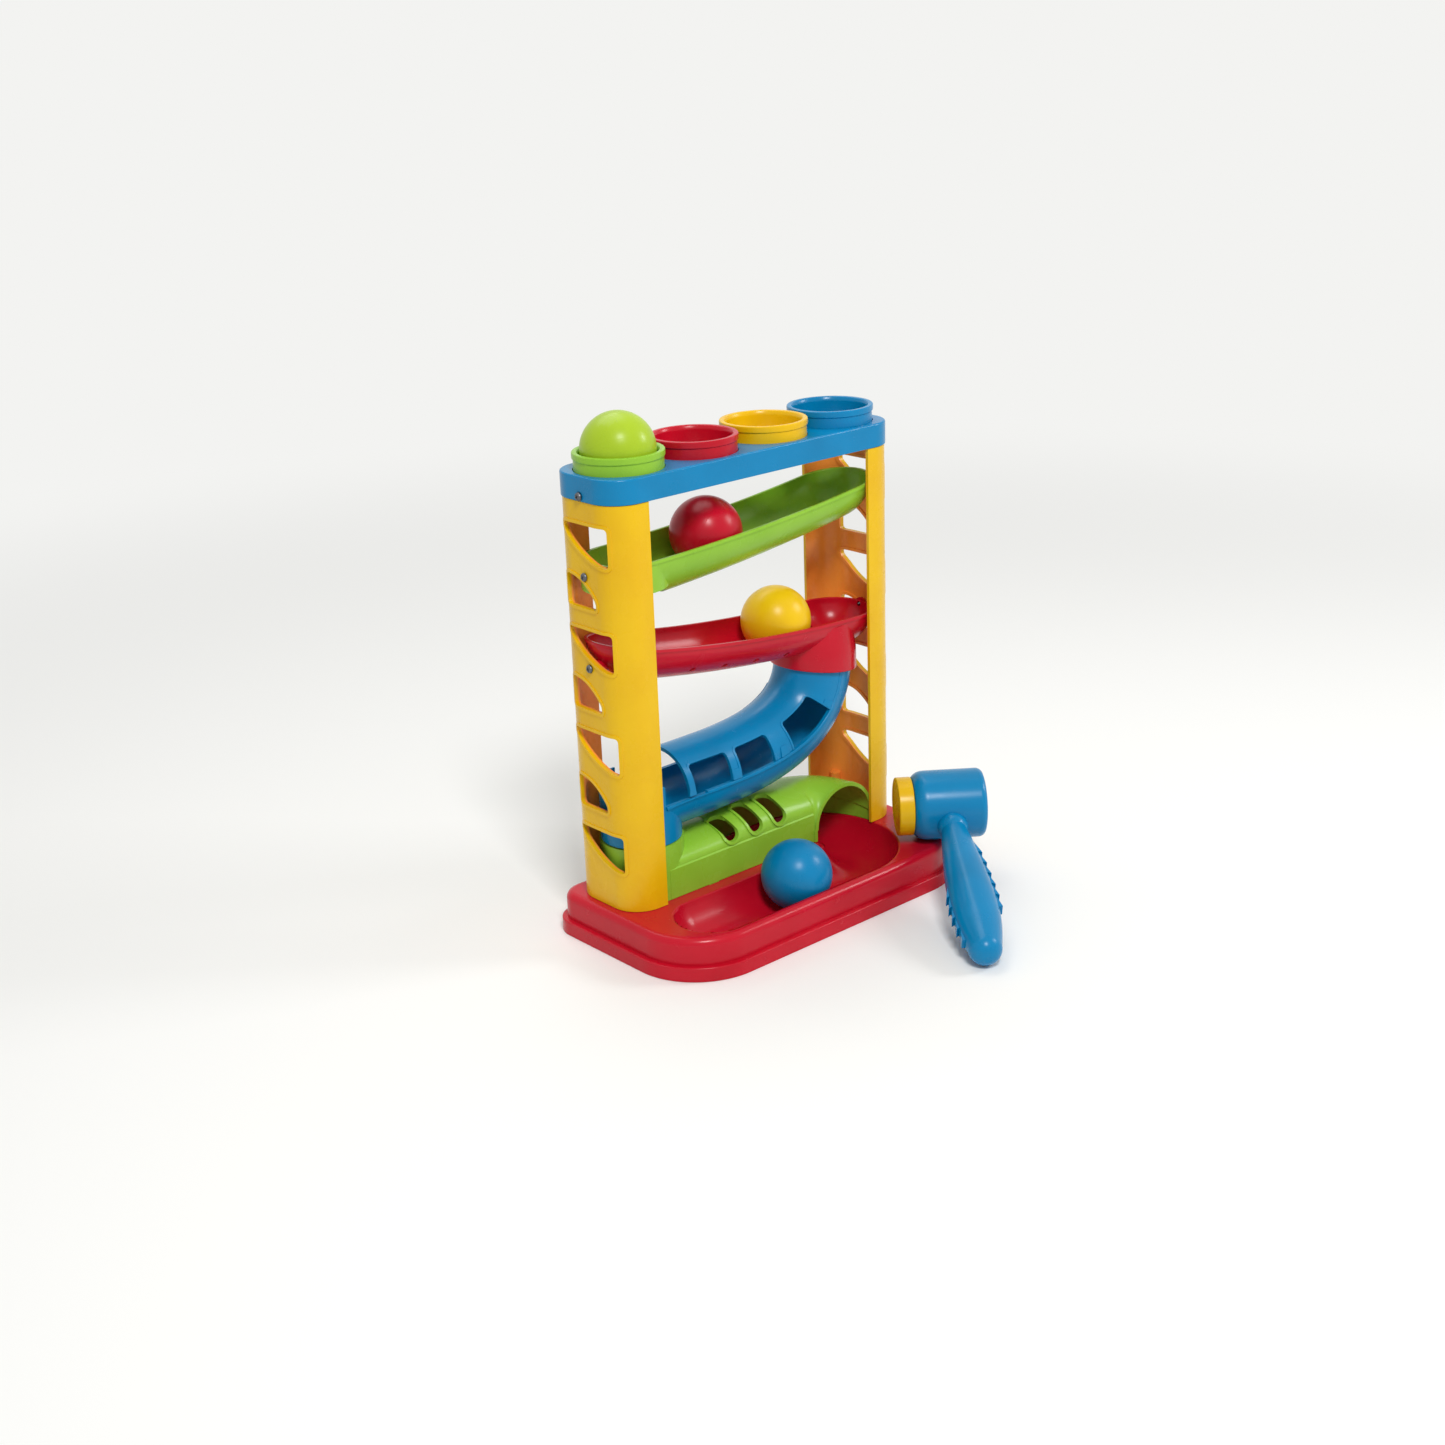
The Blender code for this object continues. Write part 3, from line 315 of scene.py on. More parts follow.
def moulding(name, colour, deeper, gloss, peel):
    # Plastic coloured in the mass: slow colour drift, orange peel from the mould and fine handling marks.
    finish, tree, shader = newFinish(name)
    place = addNode(tree, "TexCoord", {}, {}).outputs["Object"]
    drift = addNode(tree, "TexNoise", {"Scale": perMetre(38), "Detail": 3, "Roughness": 0.5}, {"Vector": place})
    flow = addNode(tree, "TexNoise", {"Scale": perMetre(14), "Detail": 2}, {"Vector": place})
    share = addNode(tree, "MapRange", {"From Min": 0.35, "From Max": 0.7}, {"Value": drift.outputs["Fac"]})
    body = addNode(tree, "Mix", {"data_type": "RGBA", 6: hexColour(colour), 7: hexColour(deeper)},
                   {0: share.outputs["Result"]})
    tree.links.new(body.outputs[2], shader.inputs["Base Color"])
    ends = {"From Min": 0.3, "From Max": 0.7, "To Min": gloss * 0.86, "To Max": gloss * 1.2}
    rough = addNode(tree, "MapRange", ends, {"Value": flow.outputs["Fac"]})
    marks = addNode(tree, "TexNoise", {"Scale": perMetre(0.9), "Detail": 4, "Roughness": 0.65}, {"Vector": place})
    worn = addNode(tree, "Math", {"operation": "MULTIPLY_ADD", 1: 0.05},
                   {0: marks.outputs["Fac"], 2: rough.outputs["Result"]})
    tree.links.new(worn.outputs["Value"], shader.inputs["Roughness"])
    skin = addNode(tree, "TexNoise", {"Scale": perMetre(2.6), "Detail": 2}, {"Vector": place})
    relief = addNode(tree, "Bump", {"Strength": peel, "Distance": 0.00006}, {"Height": skin.outputs["Fac"]})
    tree.links.new(relief.outputs["Normal"], shader.inputs["Normal"])
    shader.inputs["IOR"].default_value = 1.49
    shader.inputs["Specular IOR Level"].default_value = 0.27
    return finish


def paintedShadeInside(finish, colour):
    # Painted shade: the inside of a column's shell, within about 17 mm of the middle lines of its round corners, is
    # painted a deeper orange. This stands in for the shade there and for the light coming through the thin yellow
    # wall.
    tree = finish.node_tree
    shader = tree.nodes["Principled BSDF"]
    outside = shader.inputs["Base Color"].links[0].from_socket
    place = tree.nodes["Texture Coordinate"].outputs["Object"]
    half = addNode(tree, "VectorMath", {"operation": "ABSOLUTE"}, {0: place})
    past = addNode(tree, "VectorMath", {"operation": "SUBTRACT", 1: (0.096, 0.011, 1)}, {0: half.outputs["Vector"]})
    corner = addNode(tree, "VectorMath", {"operation": "MAXIMUM", 1: (0, 0, 0)}, {0: past.outputs["Vector"]})
    away = addNode(tree, "VectorMath", {"operation": "LENGTH"}, {0: corner.outputs["Vector"]})
    share = addNode(tree, "MapRange", {"From Min": 0.0169, "From Max": 0.0173}, {"Value": away.outputs["Value"]})
    body = addNode(tree, "Mix", {"data_type": "RGBA", 6: hexColour(colour)}, {0: share.outputs["Result"], 7: outside})
    # The deeper orange is painted shade, blended in over the plastic's own colour
    tree.links.new(body.outputs[2], shader.inputs["Base Color"])
    return finish


finishes = {
    # Glossy injection-moulded polypropylene of the tower and the hammer
    "red": moulding("redGlossPolypropylene", "#C60E28", "#BA0A22", 0.21, 0.08),
    "yellow": moulding("yellowGlossPolypropylene", "#EBBD0C", "#E4B208", 0.24, 0.08),
    "blue": moulding("blueGlossPolypropylene", "#0082B8", "#0079AC", 0.21, 0.08),
    "green": moulding("greenGlossPolypropylene", "#93C63A", "#89BD30", 0.24, 0.08),
    # The same polypropylene in the columns, with painted shade: a deeper orange inside
    "shell": paintedShadeInside(moulding("yellowShellPolypropyleneWithPaintedShade", "#EBBD0C", "#E4B208", 0.24, 0.08), "#F99B40"),
    # Blow-moulded polyethylene of the balls: softer gloss and a slightly uneven skin
    "redBall": moulding("redBlownPolyethylene", "#C4102A", "#B90C24", 0.27, 0.12),
    "yellowBall": moulding("yellowBlownPolyethylene", "#EFC414", "#E8BA10", 0.28, 0.12),
    "blueBall": moulding("blueBlownPolyethylene", "#0083BA", "#007BAE", 0.26, 0.12),
    "limeBall": moulding("limeBlownPolyethylene", "#ABC72C", "#A1BF26", 0.26, 0.12),
    # Satin thermoplastic elastomer of the soft holding rings
    "redSoft": moulding("redSatinElastomer", "#AE1228", "#A40F23", 0.5, 0.18),
    "yellowSoft": moulding("yellowSatinElastomer", "#DAAE10", "#D2A40C", 0.5, 0.18),
    "blueSoft": moulding("blueSatinElastomer", "#0070A6", "#00689B", 0.5, 0.18),
    "greenSoft": moulding("greenSatinElastomer", "#72A826", "#6A9E21", 0.5, 0.18),
}


def platedSteel():
    # Zinc-plated screw steel: cloudy plating with a fine grain
    finish, tree, shader = newFinish("zincPlatedSteel")
    place = addNode(tree, "TexCoord", {}, {}).outputs["Object"]
    cloud = addNode(tree, "TexNoise", {"Scale": perMetre(1.4), "Detail": 4}, {"Vector": place})
    body = addNode(tree, "Mix", {"data_type": "RGBA", 6: hexColour("#76787C"), 7: hexColour("#595B60")},
                   {0: cloud.outputs["Fac"]})
    tree.links.new(body.outputs[2], shader.inputs["Base Color"])
    rough = addNode(tree, "MapRange", {"To Min": 0.3, "To Max": 0.5}, {"Value": cloud.outputs["Fac"]})
    tree.links.new(rough.outputs["Result"], shader.inputs["Roughness"])
    grain = addNode(tree, "TexNoise", {"Scale": perMetre(0.3), "Detail": 2}, {"Vector": place})
    relief = addNode(tree, "Bump", {"Strength": 0.12, "Distance": 0.00005}, {"Height": grain.outputs["Fac"]})
    tree.links.new(relief.outputs["Normal"], shader.inputs["Normal"])
    shader.inputs["Metallic"].default_value = 1.0
    return finish


finishes["steel"] = platedSteel()
print("stage: materials")


# Balls, each with the fine line where its mould closed

ball = {
    "radius": 22.5, "seam": 0.3, "proud": 1.0022,
    "turns": {"lime": (0.5, 0.3), "red": (1.1, -0.6), "yellow": (-0.7, 1.0), "blue": (0.9, 0.8)},
}
for colour, (tilt, turn) in ball["turns"].items():
    bpy.ops.object.select_all(action="DESELECT")
    bpy.ops.mesh.primitive_uv_sphere_add(segments=80, ring_count=56, radius=ball["radius"])
    piece = bpy.context.active_object
    piece.name = colour + "BallShell"
    edit(piece)
    pick("edges", level(0))
    bpy.ops.mesh.bevel(offset=ball["seam"], segments=2, profile=1)
    pick("edges", level(0))
    bpy.ops.transform.resize(value=(ball["proud"], ball["proud"], 1))
    bpy.ops.mesh.select_all(action="SELECT")
    swing(tilt, "X")
    swing(turn, "Z")
    bpy.ops.transform.translate(value=middle(colour + "_ball"))
    leave()
    settle(piece, finishes[colour + "Ball"], colour + "_ball", colour + "_ball", 60)
print("stage: balls")


# Collars: a cup over the rail with a thick rim, a step below it and a groove for the soft ring

collar = {
    "colours": ("green", "red", "yellow", "blue"), "pitch": 57.1, "bore": 23.3, "outer": 26.8, "band": 27.25,
    "flange": 27.5, "top": 304.6, "bandFoot": 300.9, "plate": 291.3, "flangeFoot": 289.5, "foot": 286.7,
    "groove": 25.1, "grooveTop": 290.5, "grooveFoot": 287.8, "leadIn": 24.3, "sides": 96,
}
ring = {"outer": 24.8, "seat": 23.1, "tip": 17.6, "low": 288.1, "high": 290.15, "slit": 1.6, "slitEnd": 21.4}


def collarCorners(c):
    return [
        (c["bore"], c["top"] - 2.2, 0.8), (c["leadIn"], c["top"], 0.7), (c["band"], c["top"], 0.9),
        (c["band"], c["bandFoot"], 0.35), (c["outer"] - 0.35, c["bandFoot"] - 0.5, 0.3),
        (c["outer"], c["plate"] + 0.9, 0.6), (c["outer"], c["plate"], 0), (c["flange"], c["plate"], 0.15),
        (c["flange"], c["flangeFoot"], 0.3), (c["outer"], c["flangeFoot"], 0), (c["outer"], c["foot"], 0.6),
        (c["bore"], c["foot"], 0.6), (c["bore"], c["grooveFoot"], 0.1), (c["groove"], c["grooveFoot"], 0),
        (c["groove"], c["grooveTop"], 0), (c["bore"], c["grooveTop"], 0.1),
    ]


def ringCorners(r):
    # Dished: the fingers fall towards the ball and thin out.
    return [
        (r["tip"], r["low"] + 0.1, 0.35), (r["seat"], r["low"], 0), (r["outer"], r["low"], 0.2),
        (r["outer"], r["high"], 0.2), (r["seat"], r["high"], 0.5), (r["tip"] + 1.2, r["high"] - 0.45, 0.4),
        (r["tip"], r["high"] - 0.15, 0.35),
    ]


firstCollar = turned("collarCup", collarCorners(collar), collar["sides"])
firstRing = turned("fingerRing", ringCorners(ring), collar["sides"])
for i in range(4):
    slit = block("slit", (-ring["slitEnd"], -ring["slit"] / 2, 280), (ring["slitEnd"], ring["slit"] / 2, 300))
    ends = [rod("slitEnd", 1.15, 281, 299, 20, (side * ring["slitEnd"], 0)) for side in (-1, 1)]
    for tool in [slit, *ends]:
        edit(tool)
        turn = math.pi / 4 * (i + 0.5)
        swing(turn, "Z")
        leave()
        combine(firstRing, tool)
bevelAngles(firstRing, 0.16)
for i, colour in enumerate(collar["colours"]):
    for piece, tail, finish, slot in (
        (firstCollar, "Collar", colour, "_plastic"), (firstRing, "FingerRing", colour + "Soft", "_soft_plastic"),
    ):
        twin = copied(piece, colour + tail)
        edit(twin)
        bpy.ops.transform.translate(value=((i - 1.5) * collar["pitch"], 0, 0))
        leave()
        node = colour + ("_collar" if tail == "Collar" else "_finger_ring")
        settle(twin, finishes[finish], node, "tower")
bpy.data.objects.remove(firstCollar)
bpy.data.objects.remove(firstRing)
print("stage: collars and rings")


# Top rail: a shallow cap with rounded ends and four bores

rail = {
    "half": 115.7, "side": 30.7, "corner": 19.7, "low": 279.3, "high": 294.1, "wall": 2.2, "plate": 291.6,
    "round": 1.2, "bore": 27.1, "screw": 282.1, "hole": 1.6, "bead": 0.35,
}


def roundedBar(name, half, side, corner, low, high):
    piece = block(name, (-half, -side, low), (half, side, high))
    edit(piece)
    pick("edges", upright)
    bpy.ops.mesh.bevel(offset=corner, segments=20)
    return leave()


railCap = roundedBar("railCap", rail["half"], rail["side"], rail["corner"], rail["low"], rail["high"])
edit(railCap)
pick("faces", level(rail["low"]))
bpy.ops.mesh.inset(thickness=rail["wall"])
pull((0, 0, rail["plate"] - rail["low"]))
pick("edges", level(rail["high"]))
bpy.ops.mesh.bevel(offset=rail["round"], segments=4)
pick("edges", level(rail["low"]))
bpy.ops.mesh.bevel(offset=rail["bead"], segments=2)
leave()
for i in range(4):
    place = ((i - 1.5) * collar["pitch"], 0)
    combine(railCap, rod("bore", rail["bore"], 285, 300, collar["sides"], place))
for side in (-1, 1):
    far = sorted((side * 100, side * 120))
    combine(railCap, rod("screwHole", rail["hole"], *far, 24, (0, rail["screw"]), "X"))
    face = sorted((side * (rail["half"] - 0.5), side * 120))
    combine(railCap, rod("screwSink", 2.9, *face, 32, (0, rail["screw"]), "X"))
bevelAngles(railCap, 0.3)
settle(railCap, finishes["blue"], "top_rail", "tower")
print("stage: rail")


# Columns: an open C section with two kinds of windows, each with a raised rim

column = {
    "end": 115.0, "side": 30.0, "corner": 19.0, "depth": 26.0, "wall": 2.2, "foot": 26.3, "top": 279.0,
    "spigotIn": 1.8, "spigotLow": 273.0, "spigotTop": 285.2, "levels": 4, "pitch": 63.6, "windowTop": 265.5,
    "rimOut": 0.6, "rimIn": 0.8, "rimWide": 1.9, "hole": 1.6,
    "upper": [(18, 0, 2.8), (-20.2, 0, 2.8), (-20.2, -24, 2.8), (1.5, -20.3, None), (18, -3.5, 2.8)],
    "lower": [(18, -30.8, 2.8), (2, -31.5, None), (-9.5, -45.5, 1.8), (-9.5, -50.2, 2.4), (18, -50.2, 2.8)],
    "screws": {-1: (234.3, 178.2, 282.1), 1: (241.8, 168.0, 282.1)},
    "footScrew": (105.6, 20.6), "boss": 3.6, "bossFoot": 26.5, "bossTop": 44.3,
}


def openPlan(inset, depth):
    # The open outline of the left column, drawn in by inset.
    c = column
    x, y, r = c["end"] - inset, c["side"] - inset, c["corner"] - inset
    points = [(depth - c["end"], -y)]
    for start, cy in ((270, r - y), (180, y - r)):
        for k in range(15):
            turn = math.radians(start - 90 * k / 14)
            points.append((r - x + r * math.cos(turn), cy + r * math.sin(turn)))
    return points + [(depth - c["end"], y)]


def channel(name, inset, thickness, depth, low, high):
    piece = chain(name, [(x, y, low) for x, y in openPlan(inset, depth)])
    edit(piece)
    bpy.ops.mesh.extrude_edges_move(TRANSFORM_OT_translate={"value": (0, 0, high - low)})
    bpy.ops.mesh.select_all(action="SELECT")
    bpy.ops.mesh.normals_make_consistent(inside=False)
    leave()
    # Normals point out of the C when the face at the end looks to -X.
    outward = min(piece.data.polygons, key=lambda face: face.center.x).normal.x < 0
    wall = piece.modifiers.new("wall", "SOLIDIFY")
    wall.thickness, wall.offset, wall.use_even_offset = thickness, -1 if outward else 1, True
    only(piece)
    bpy.ops.object.modifier_apply(modifier="wall")
    edit(piece)
    tidy()
    return leave()


def windowPrisms(name, grow, reach):
    # All windows of the left column as prisms along X, widened by grow all round.
    c = column
    prisms = []
    for i in range(c["levels"]):
        top = c["windowTop"] - i * c["pitch"]
        for corners in (c["upper"], c["lower"])[:2 if i < c["levels"] - 1 else 1]:
            piece = chain(name, [(-reach[0], y, top + z) for y, z in soft(corners)], "face")
            edit(piece)
            pull((reach[0] - reach[1], 0, 0))
            tidy()
            if grow:
                bpy.ops.transform.shrink_fatten(value=grow, use_even_offset=True)
            prisms.append(leave())
    return joined(prisms)


def makeColumn(name, side):
    c = column
    piece = channel(name, 0, c["wall"], c["depth"], c["foot"], c["top"])
    rims = channel("windowRims", -c["rimOut"], c["wall"] + c["rimOut"] + c["rimIn"],
                   c["depth"] - 1, c["foot"] + 1, c["top"] - 1)
    combine(rims, windowPrisms("rimPrism", c["rimWide"], (120, 102)), "INTERSECT")
    combine(piece, rims, "UNION")
    spigot = channel("spigot", c["spigotIn"], c["wall"], c["depth"] - 1.2, c["spigotLow"], c["spigotTop"])
    combine(piece, spigot, "UNION")
    for y in (-1, 1):
        boss = rod("boss", c["boss"], c["bossFoot"], c["bossTop"], 32, (-c["footScrew"][0], y * c["footScrew"][1]))
        combine(piece, boss, "UNION")
        combine(piece, rod("bossHole", c["hole"], 20, 35, 24, (-c["footScrew"][0], y * c["footScrew"][1])))
    combine(piece, windowPrisms("windowPrism", 0, (120, 102.9)))
    for height in c["screws"][side]:
        combine(piece, rod("screwHole", c["hole"], -120, -107, 24, (0, height), "X"))
    bevelAngles(piece, 0.25, 2, 55)
    if side > 0:
        edit(piece)
        bpy.ops.transform.resize(value=(-1, 1, 1), center_override=(0, 0, 0))
        bpy.ops.mesh.normals_make_consistent(inside=False)
        leave()
    return piece


for side, word in ((-1, "left"), (1, "right")):
    piece = makeColumn(word + "ColumnShell", side)
    # The shell finish carries painted shade: a deeper orange on the inner faces
    settle(piece, finishes["shell"], word + "_column", "tower")
print("stage: columns")


# Ramps: half round troughs on long arcs, with round ends like a spoon and a lip along the rim

trough = {"reach": 85.65, "inner": 24.0, "wall": 1.8, "lip": 0.55, "lipDrop": 2.1, "runs": 34, "turns": 20, "arc": 18}


def rise(x, slope, radius):
    lean = math.atan(slope)
    return radius * math.cos(lean) - math.sqrt(radius ** 2 - (x + radius * math.sin(lean)) ** 2)


def upperRim(x):
    return 246 + rise(x, 0.078, 1500)


def upperFloor(x):
    return 221.7 + rise(x, 0.105, 1500)


def lowerRim(x):
    return 175.8 + rise(x, -0.105, 1000)


def lowerFloor(x):
    return 154 + rise(x, -0.105, 1000)


def troughStations(roundLeft):
    # Places and headings round the plan: along the near side, round the right end and back.
    t = trough
    stations = [(t["reach"] * (2 * i / t["runs"] - 1), -90) for i in range(t["runs"])]
    stations += [(t["reach"], 180 * i / t["turns"] - 90) for i in range(t["turns"])]
    stations += [(t["reach"] * (1 - 2 * i / t["runs"]), 90) for i in range(t["runs"] + (not roundLeft))]
    if roundLeft:
        stations += [(-t["reach"], 90 + 180 * i / t["turns"]) for i in range(t["turns"])]
    return stations


def troughRows(stations, rim, floor, sectionAt):
    rows = []
    for x, heading in stations:
        cx, cy = math.cos(math.radians(heading)), math.sin(math.radians(heading))
        row = []
        for out, drop in sectionAt(rim(x) - floor(x)):
            px = x + cx * out if abs(heading) != 90 else x
            row.append((px, cy * out, rim(px) - drop))
        rows.append(row)
    return rows


def shellSection(depth):
    # From the middle of the underside, up and over the lip, and down to the middle of the floor.
    t = trough
    outer, inner = t["inner"] + t["wall"], t["inner"]
    last = math.acos((t["lipDrop"] + 0.2) / (depth + t["wall"]))
    points = []
    for i in range(t["arc"] + 1):
        turn = last * i / t["arc"]
        points.append((outer * math.sin(turn), (depth + t["wall"]) * math.cos(turn)))
    far = outer + t["lip"]
    lip = [(outer, t["lipDrop"], 0.1), (far, t["lipDrop"], 0.25), (far, 0, 0.7), (inner, 0, 0.7)]
    points += soft(lip + [(inner, 3, 0)], 3)[:-1]
    last = math.acos(1.2 / depth)
    for i in range(t["arc"] + 1):
        turn = last * (1 - i / t["arc"])
        points.append((inner * math.sin(turn), depth * math.cos(turn)))
    return points


def roomSection(depth):
    # The room inside a trough, to the middle of its wall, and open air above.
    t = trough
    wide, deep = t["inner"] + t["wall"] / 2, depth + t["wall"] / 2
    points = [(wide * math.sin(math.pi / 2 * i / t["arc"]), deep * math.cos(math.pi / 2 * i / t["arc"]))
              for i in range(t["arc"] + 1)]
    return points + [(wide, -30), (0, -30)]


def makeTrough(name, rim, floor, roundLeft, sectionAt):
    piece = skinned(name, troughRows(troughStations(roundLeft), rim, floor, sectionAt), roundLeft, True)
    if roundLeft:
        return piece
    edit(piece)
    pick("edges", lambda edge: edge.is_boundary)
    bpy.ops.mesh.edge_face_add()
    tidy()
    return leave()


def endBoss(side, height):
    far = sorted((side * 112.5, side * 98))
    return rod("endBoss", 4.0, *far, 32, (0, height), "X")


def bossHole(side, height):
    far = sorted((side * 116, side * 107.9))
    return rod("bossHole", 1.6, *far, 24, (0, height), "X")


upperRamp = {"hoopOuter": 25.8, "hoopInner": 23.3, "hoopLow": 223.1, "screws": {-1: 234.3, 1: 241.8}}


def hoopRows(u):
    # The drop hoop's rim follows the ramp's rim all the way round.
    rows = []
    far, lipDrop = u["hoopOuter"] + 0.5, trough["lipDrop"]
    corners = [(u["hoopInner"], 0.0, 0.7), (far, 0.0, 0.7), (far, lipDrop, 0.25), (u["hoopOuter"], lipDrop, 0.1)]
    for i in range(96):
        turn = 2 * math.pi * (i + 0.5) / 96
        cx, cy = math.cos(turn), math.sin(turn)
        row = []
        for out, drop in soft(corners + [(u["hoopOuter"], 12, 0), (u["hoopInner"], 12, 0)], 3):
            x = -trough["reach"] + cx * out
            row.append((x, cy * out, u["hoopLow"] if drop > 11 else upperRim(x) - drop))
        rows.append(row)
    return rows


upper = makeTrough("upperRampTrough", upperRim, upperFloor, False, shellSection)
hoop = skinned("hoop", hoopRows(upperRamp), looped=True)
for side, height in upperRamp["screws"].items():
    combine(hoop, endBoss(side, height), "UNION")
combine(hoop, makeTrough("room", upperRim, upperFloor, False, roomSection))
combine(upper, hoop, "UNION")
combine(upper, rod("drop", upperRamp["hoopInner"], 190, 270, 96, (-trough["reach"], 0)))
for side, height in upperRamp["screws"].items():
    combine(upper, bossHole(side, height))
settle(upper, finishes["green"], "upper_ramp", "tower")
print("stage: upper ramp")


# Lower ramp: round at both ends, with a bucket at the right over the tube's inlet and drains in both walls

lowerRamp = {
    "screws": {-1: 178.2, 1: 168.0}, "bucketX": 66.5, "bore": 23.3, "socket": 26.5, "socketTop": 146.1,
    "bucketOuter": 28.3, "bucketInner": 20, "bucketFoot": 137.3, "slant": -0.141, "shoulder": 147.6, "neck": 26.0,
    "bucketTop": 167.5, "drains": (-52, -26, 0, 26), "drainTurn": 132,
    "drain": [(0, 20.5, 0), (2, 20.5, 0), (2, 24.3, 0), (2.7, 25.0, 0), (2.7, 30, 0), (0, 30, 0)],
}


def bucketRows(r):
    # A thick ring with a slanted foot and a neck that runs up into the trough.
    inner, outer = r["bucketInner"], r["bucketOuter"]
    rows = []
    for i in range(96):
        turn = 2 * math.pi * (i + 0.5) / 96
        feet = [r["bucketFoot"] + r["slant"] * radius * math.cos(turn) for radius in (inner, outer)]
        corners = [(inner, feet[0], 0), (outer, feet[1], 0.8), (outer, r["shoulder"], 3),
                   (r["neck"], r["bucketTop"], 0), (inner, r["bucketTop"], 0)]
        rows.append([(r["bucketX"] + u * math.cos(turn), u * math.sin(turn), z) for u, z in soft(corners, 4)])
    return rows


lower = makeTrough("lowerRampTrough", lowerRim, lowerFloor, True, shellSection)
bucket = skinned("bucket", bucketRows(lowerRamp), looped=True)
for side, height in lowerRamp["screws"].items():
    combine(bucket, endBoss(side, height), "UNION")
combine(bucket, makeTrough("room", lowerRim, lowerFloor, True, roomSection))
combine(lower, bucket, "UNION")
combine(lower, rod("drop", lowerRamp["bore"], 140, 176, 96, (lowerRamp["bucketX"], 0)))
combine(lower, rod("socket", lowerRamp["socket"], 120, lowerRamp["socketTop"], 96, (lowerRamp["bucketX"], 0)))
for x in lowerRamp["drains"]:
    for side in (-1, 1):
        drain = turned("drain", lowerRamp["drain"], 24)
        edit(drain)
        turn = math.radians(side * lowerRamp["drainTurn"])
        swing(turn, "X")
        bpy.ops.transform.translate(value=(x, 0, lowerRim(x)))
        leave()
        combine(lower, drain)
for side, height in lowerRamp["screws"].items():
    combine(lower, bossHole(side, height))
settle(lower, finishes["red"], "lower_ramp", "tower")
print("stage: lower ramp")


# Tube: two halves on one curve, the lower with a lip and a spout, the cover with windows

tube = {
    "points": [(66.5, 145.8), (66.5, 74.0), (-40.17, 93.14), (-83, 87.5)], "inner": 23.5, "outer": 25.3,
    "lip": 1.0, "lipHeight": 2.4, "lipStart": 2 / 12, "coverEnd": 0.872, "seam": 0.15, "rows": 64, "arc": 30,
    "windows": ((0.683, 0.845), (0.5, 0.645), (0.19, 0.41)), "windowTurn": math.radians(44), "run": 190,
    "corner": 3.4, "frame": 1.5, "frameProud": 0.45, "band": 0.7, "feet": (0.664, 0.455, 0.858, 0.172),
    "spoutOuter": 25.15, "spoutInner": 23.35, "spoutLow": 62.5, "spoutHigh": 100.5, "mouth": 87.8,
}


def tubeFrame(t):
    # The point on the curve and the direction away from its underside.
    p = [Vector((x, 0, z)) for x, z in tube["points"]]
    spot = p[0] * (1 - t) ** 3 + p[1] * 3 * t * (1 - t) ** 2 + p[2] * 3 * t * t * (1 - t) + p[3] * t ** 3
    along = (p[1] - p[0]) * (1 - t) ** 2 + (p[2] - p[1]) * 2 * t * (1 - t) + (p[3] - p[2]) * t * t
    return spot, Vector((0, 1, 0)).cross(along.normalized())


def onTube(t, radius, turn):
    spot, up = tubeFrame(t)
    return spot + Vector((0, 1, 0)) * radius * math.cos(turn) + up * radius * math.sin(turn)


def tubeRows(start, end, count, sectionAt):
    rows = []
    for i in range(count + 1):
        t = start + (end - start) * i / count
        spot, up = tubeFrame(t)
        rows.append([spot + Vector((0, u, 0)) + up * v for u, v in sectionAt(t)])
    return rows


def roundSection(radius, sides):
    turns = [2 * math.pi * i / sides for i in range(sides)]
    return [(radius * math.cos(turn), radius * math.sin(turn)) for turn in turns]


def halfSection(t):
    # The lower half, solid, with its lip.
    lip = tube["lip"] * min(1, max(0, (t - tube["lipStart"]) / 0.015 + 1))
    first = math.asin((tube["lipHeight"] + 0.3) / tube["outer"])
    far = tube["outer"] + lip
    left = [(-far, -tube["seam"] - 0.3), (-far, 0.3 - tube["lipHeight"]), (0.3 - far, -tube["lipHeight"])]
    bowl = []
    for i in range(tube["arc"] + 1):
        turn = math.pi + first + (math.pi - 2 * first) * i / tube["arc"]
        bowl.append((tube["outer"] * math.cos(turn), tube["outer"] * math.sin(turn)))
    right = [(-u, v) for u, v in reversed(left)]
    return [(0.3 - far, -tube["seam"]), *left, *bowl, *right, (far - 0.3, -tube["seam"])]


def archSection(outer, inner):
    # Half a ring over the seam.
    points = []
    for radius, way in ((outer, 1), (inner, -1)):
        for i in range(tube["arc"] + 1):
            turn = math.pi * i / tube["arc"]
            points.append((radius * math.cos(turn) * way, radius * math.sin(turn) + tube["seam"]))
    return points


def windowPath(window, grow=0.0):
    # Up one side of a window, along its top and down the other, in shares of the run and turns.
    run, radius = tube["run"], tube["outer"]
    start, end, top = window[0] * run - grow, window[1] * run + grow, tube["windowTurn"] * radius + grow
    low = -3 if not grow else 0.3
    bend = tube["corner"] + grow
    path = soft([(start, low, 0), (start, top, bend), (end, top, bend), (end, low, 0)])
    dense = []
    for (u, v), (nextU, nextV) in zip(path, path[1:]):
        pieces = max(1, round(math.hypot(nextU - u, nextV - v) / 1.5))
        dense += [(u + (nextU - u) * k / pieces, v + (nextV - v) * k / pieces) for k in range(pieces)]
    dense.append(path[-1])
    return [(u / run, v / radius) for u, v in dense]


def windowTool(window, side):
    path = windowPath(window)
    foot = [(path[-1][0] + (path[0][0] - path[-1][0]) * k / 12, path[0][1]) for k in range(1, 12)]
    ring = path + foot
    rows = [[onTube(t, r, turn if side > 0 else math.pi - turn) for t, turn in ring] for r in (20.5, 28.6)]
    return skinned("windowTool", rows)


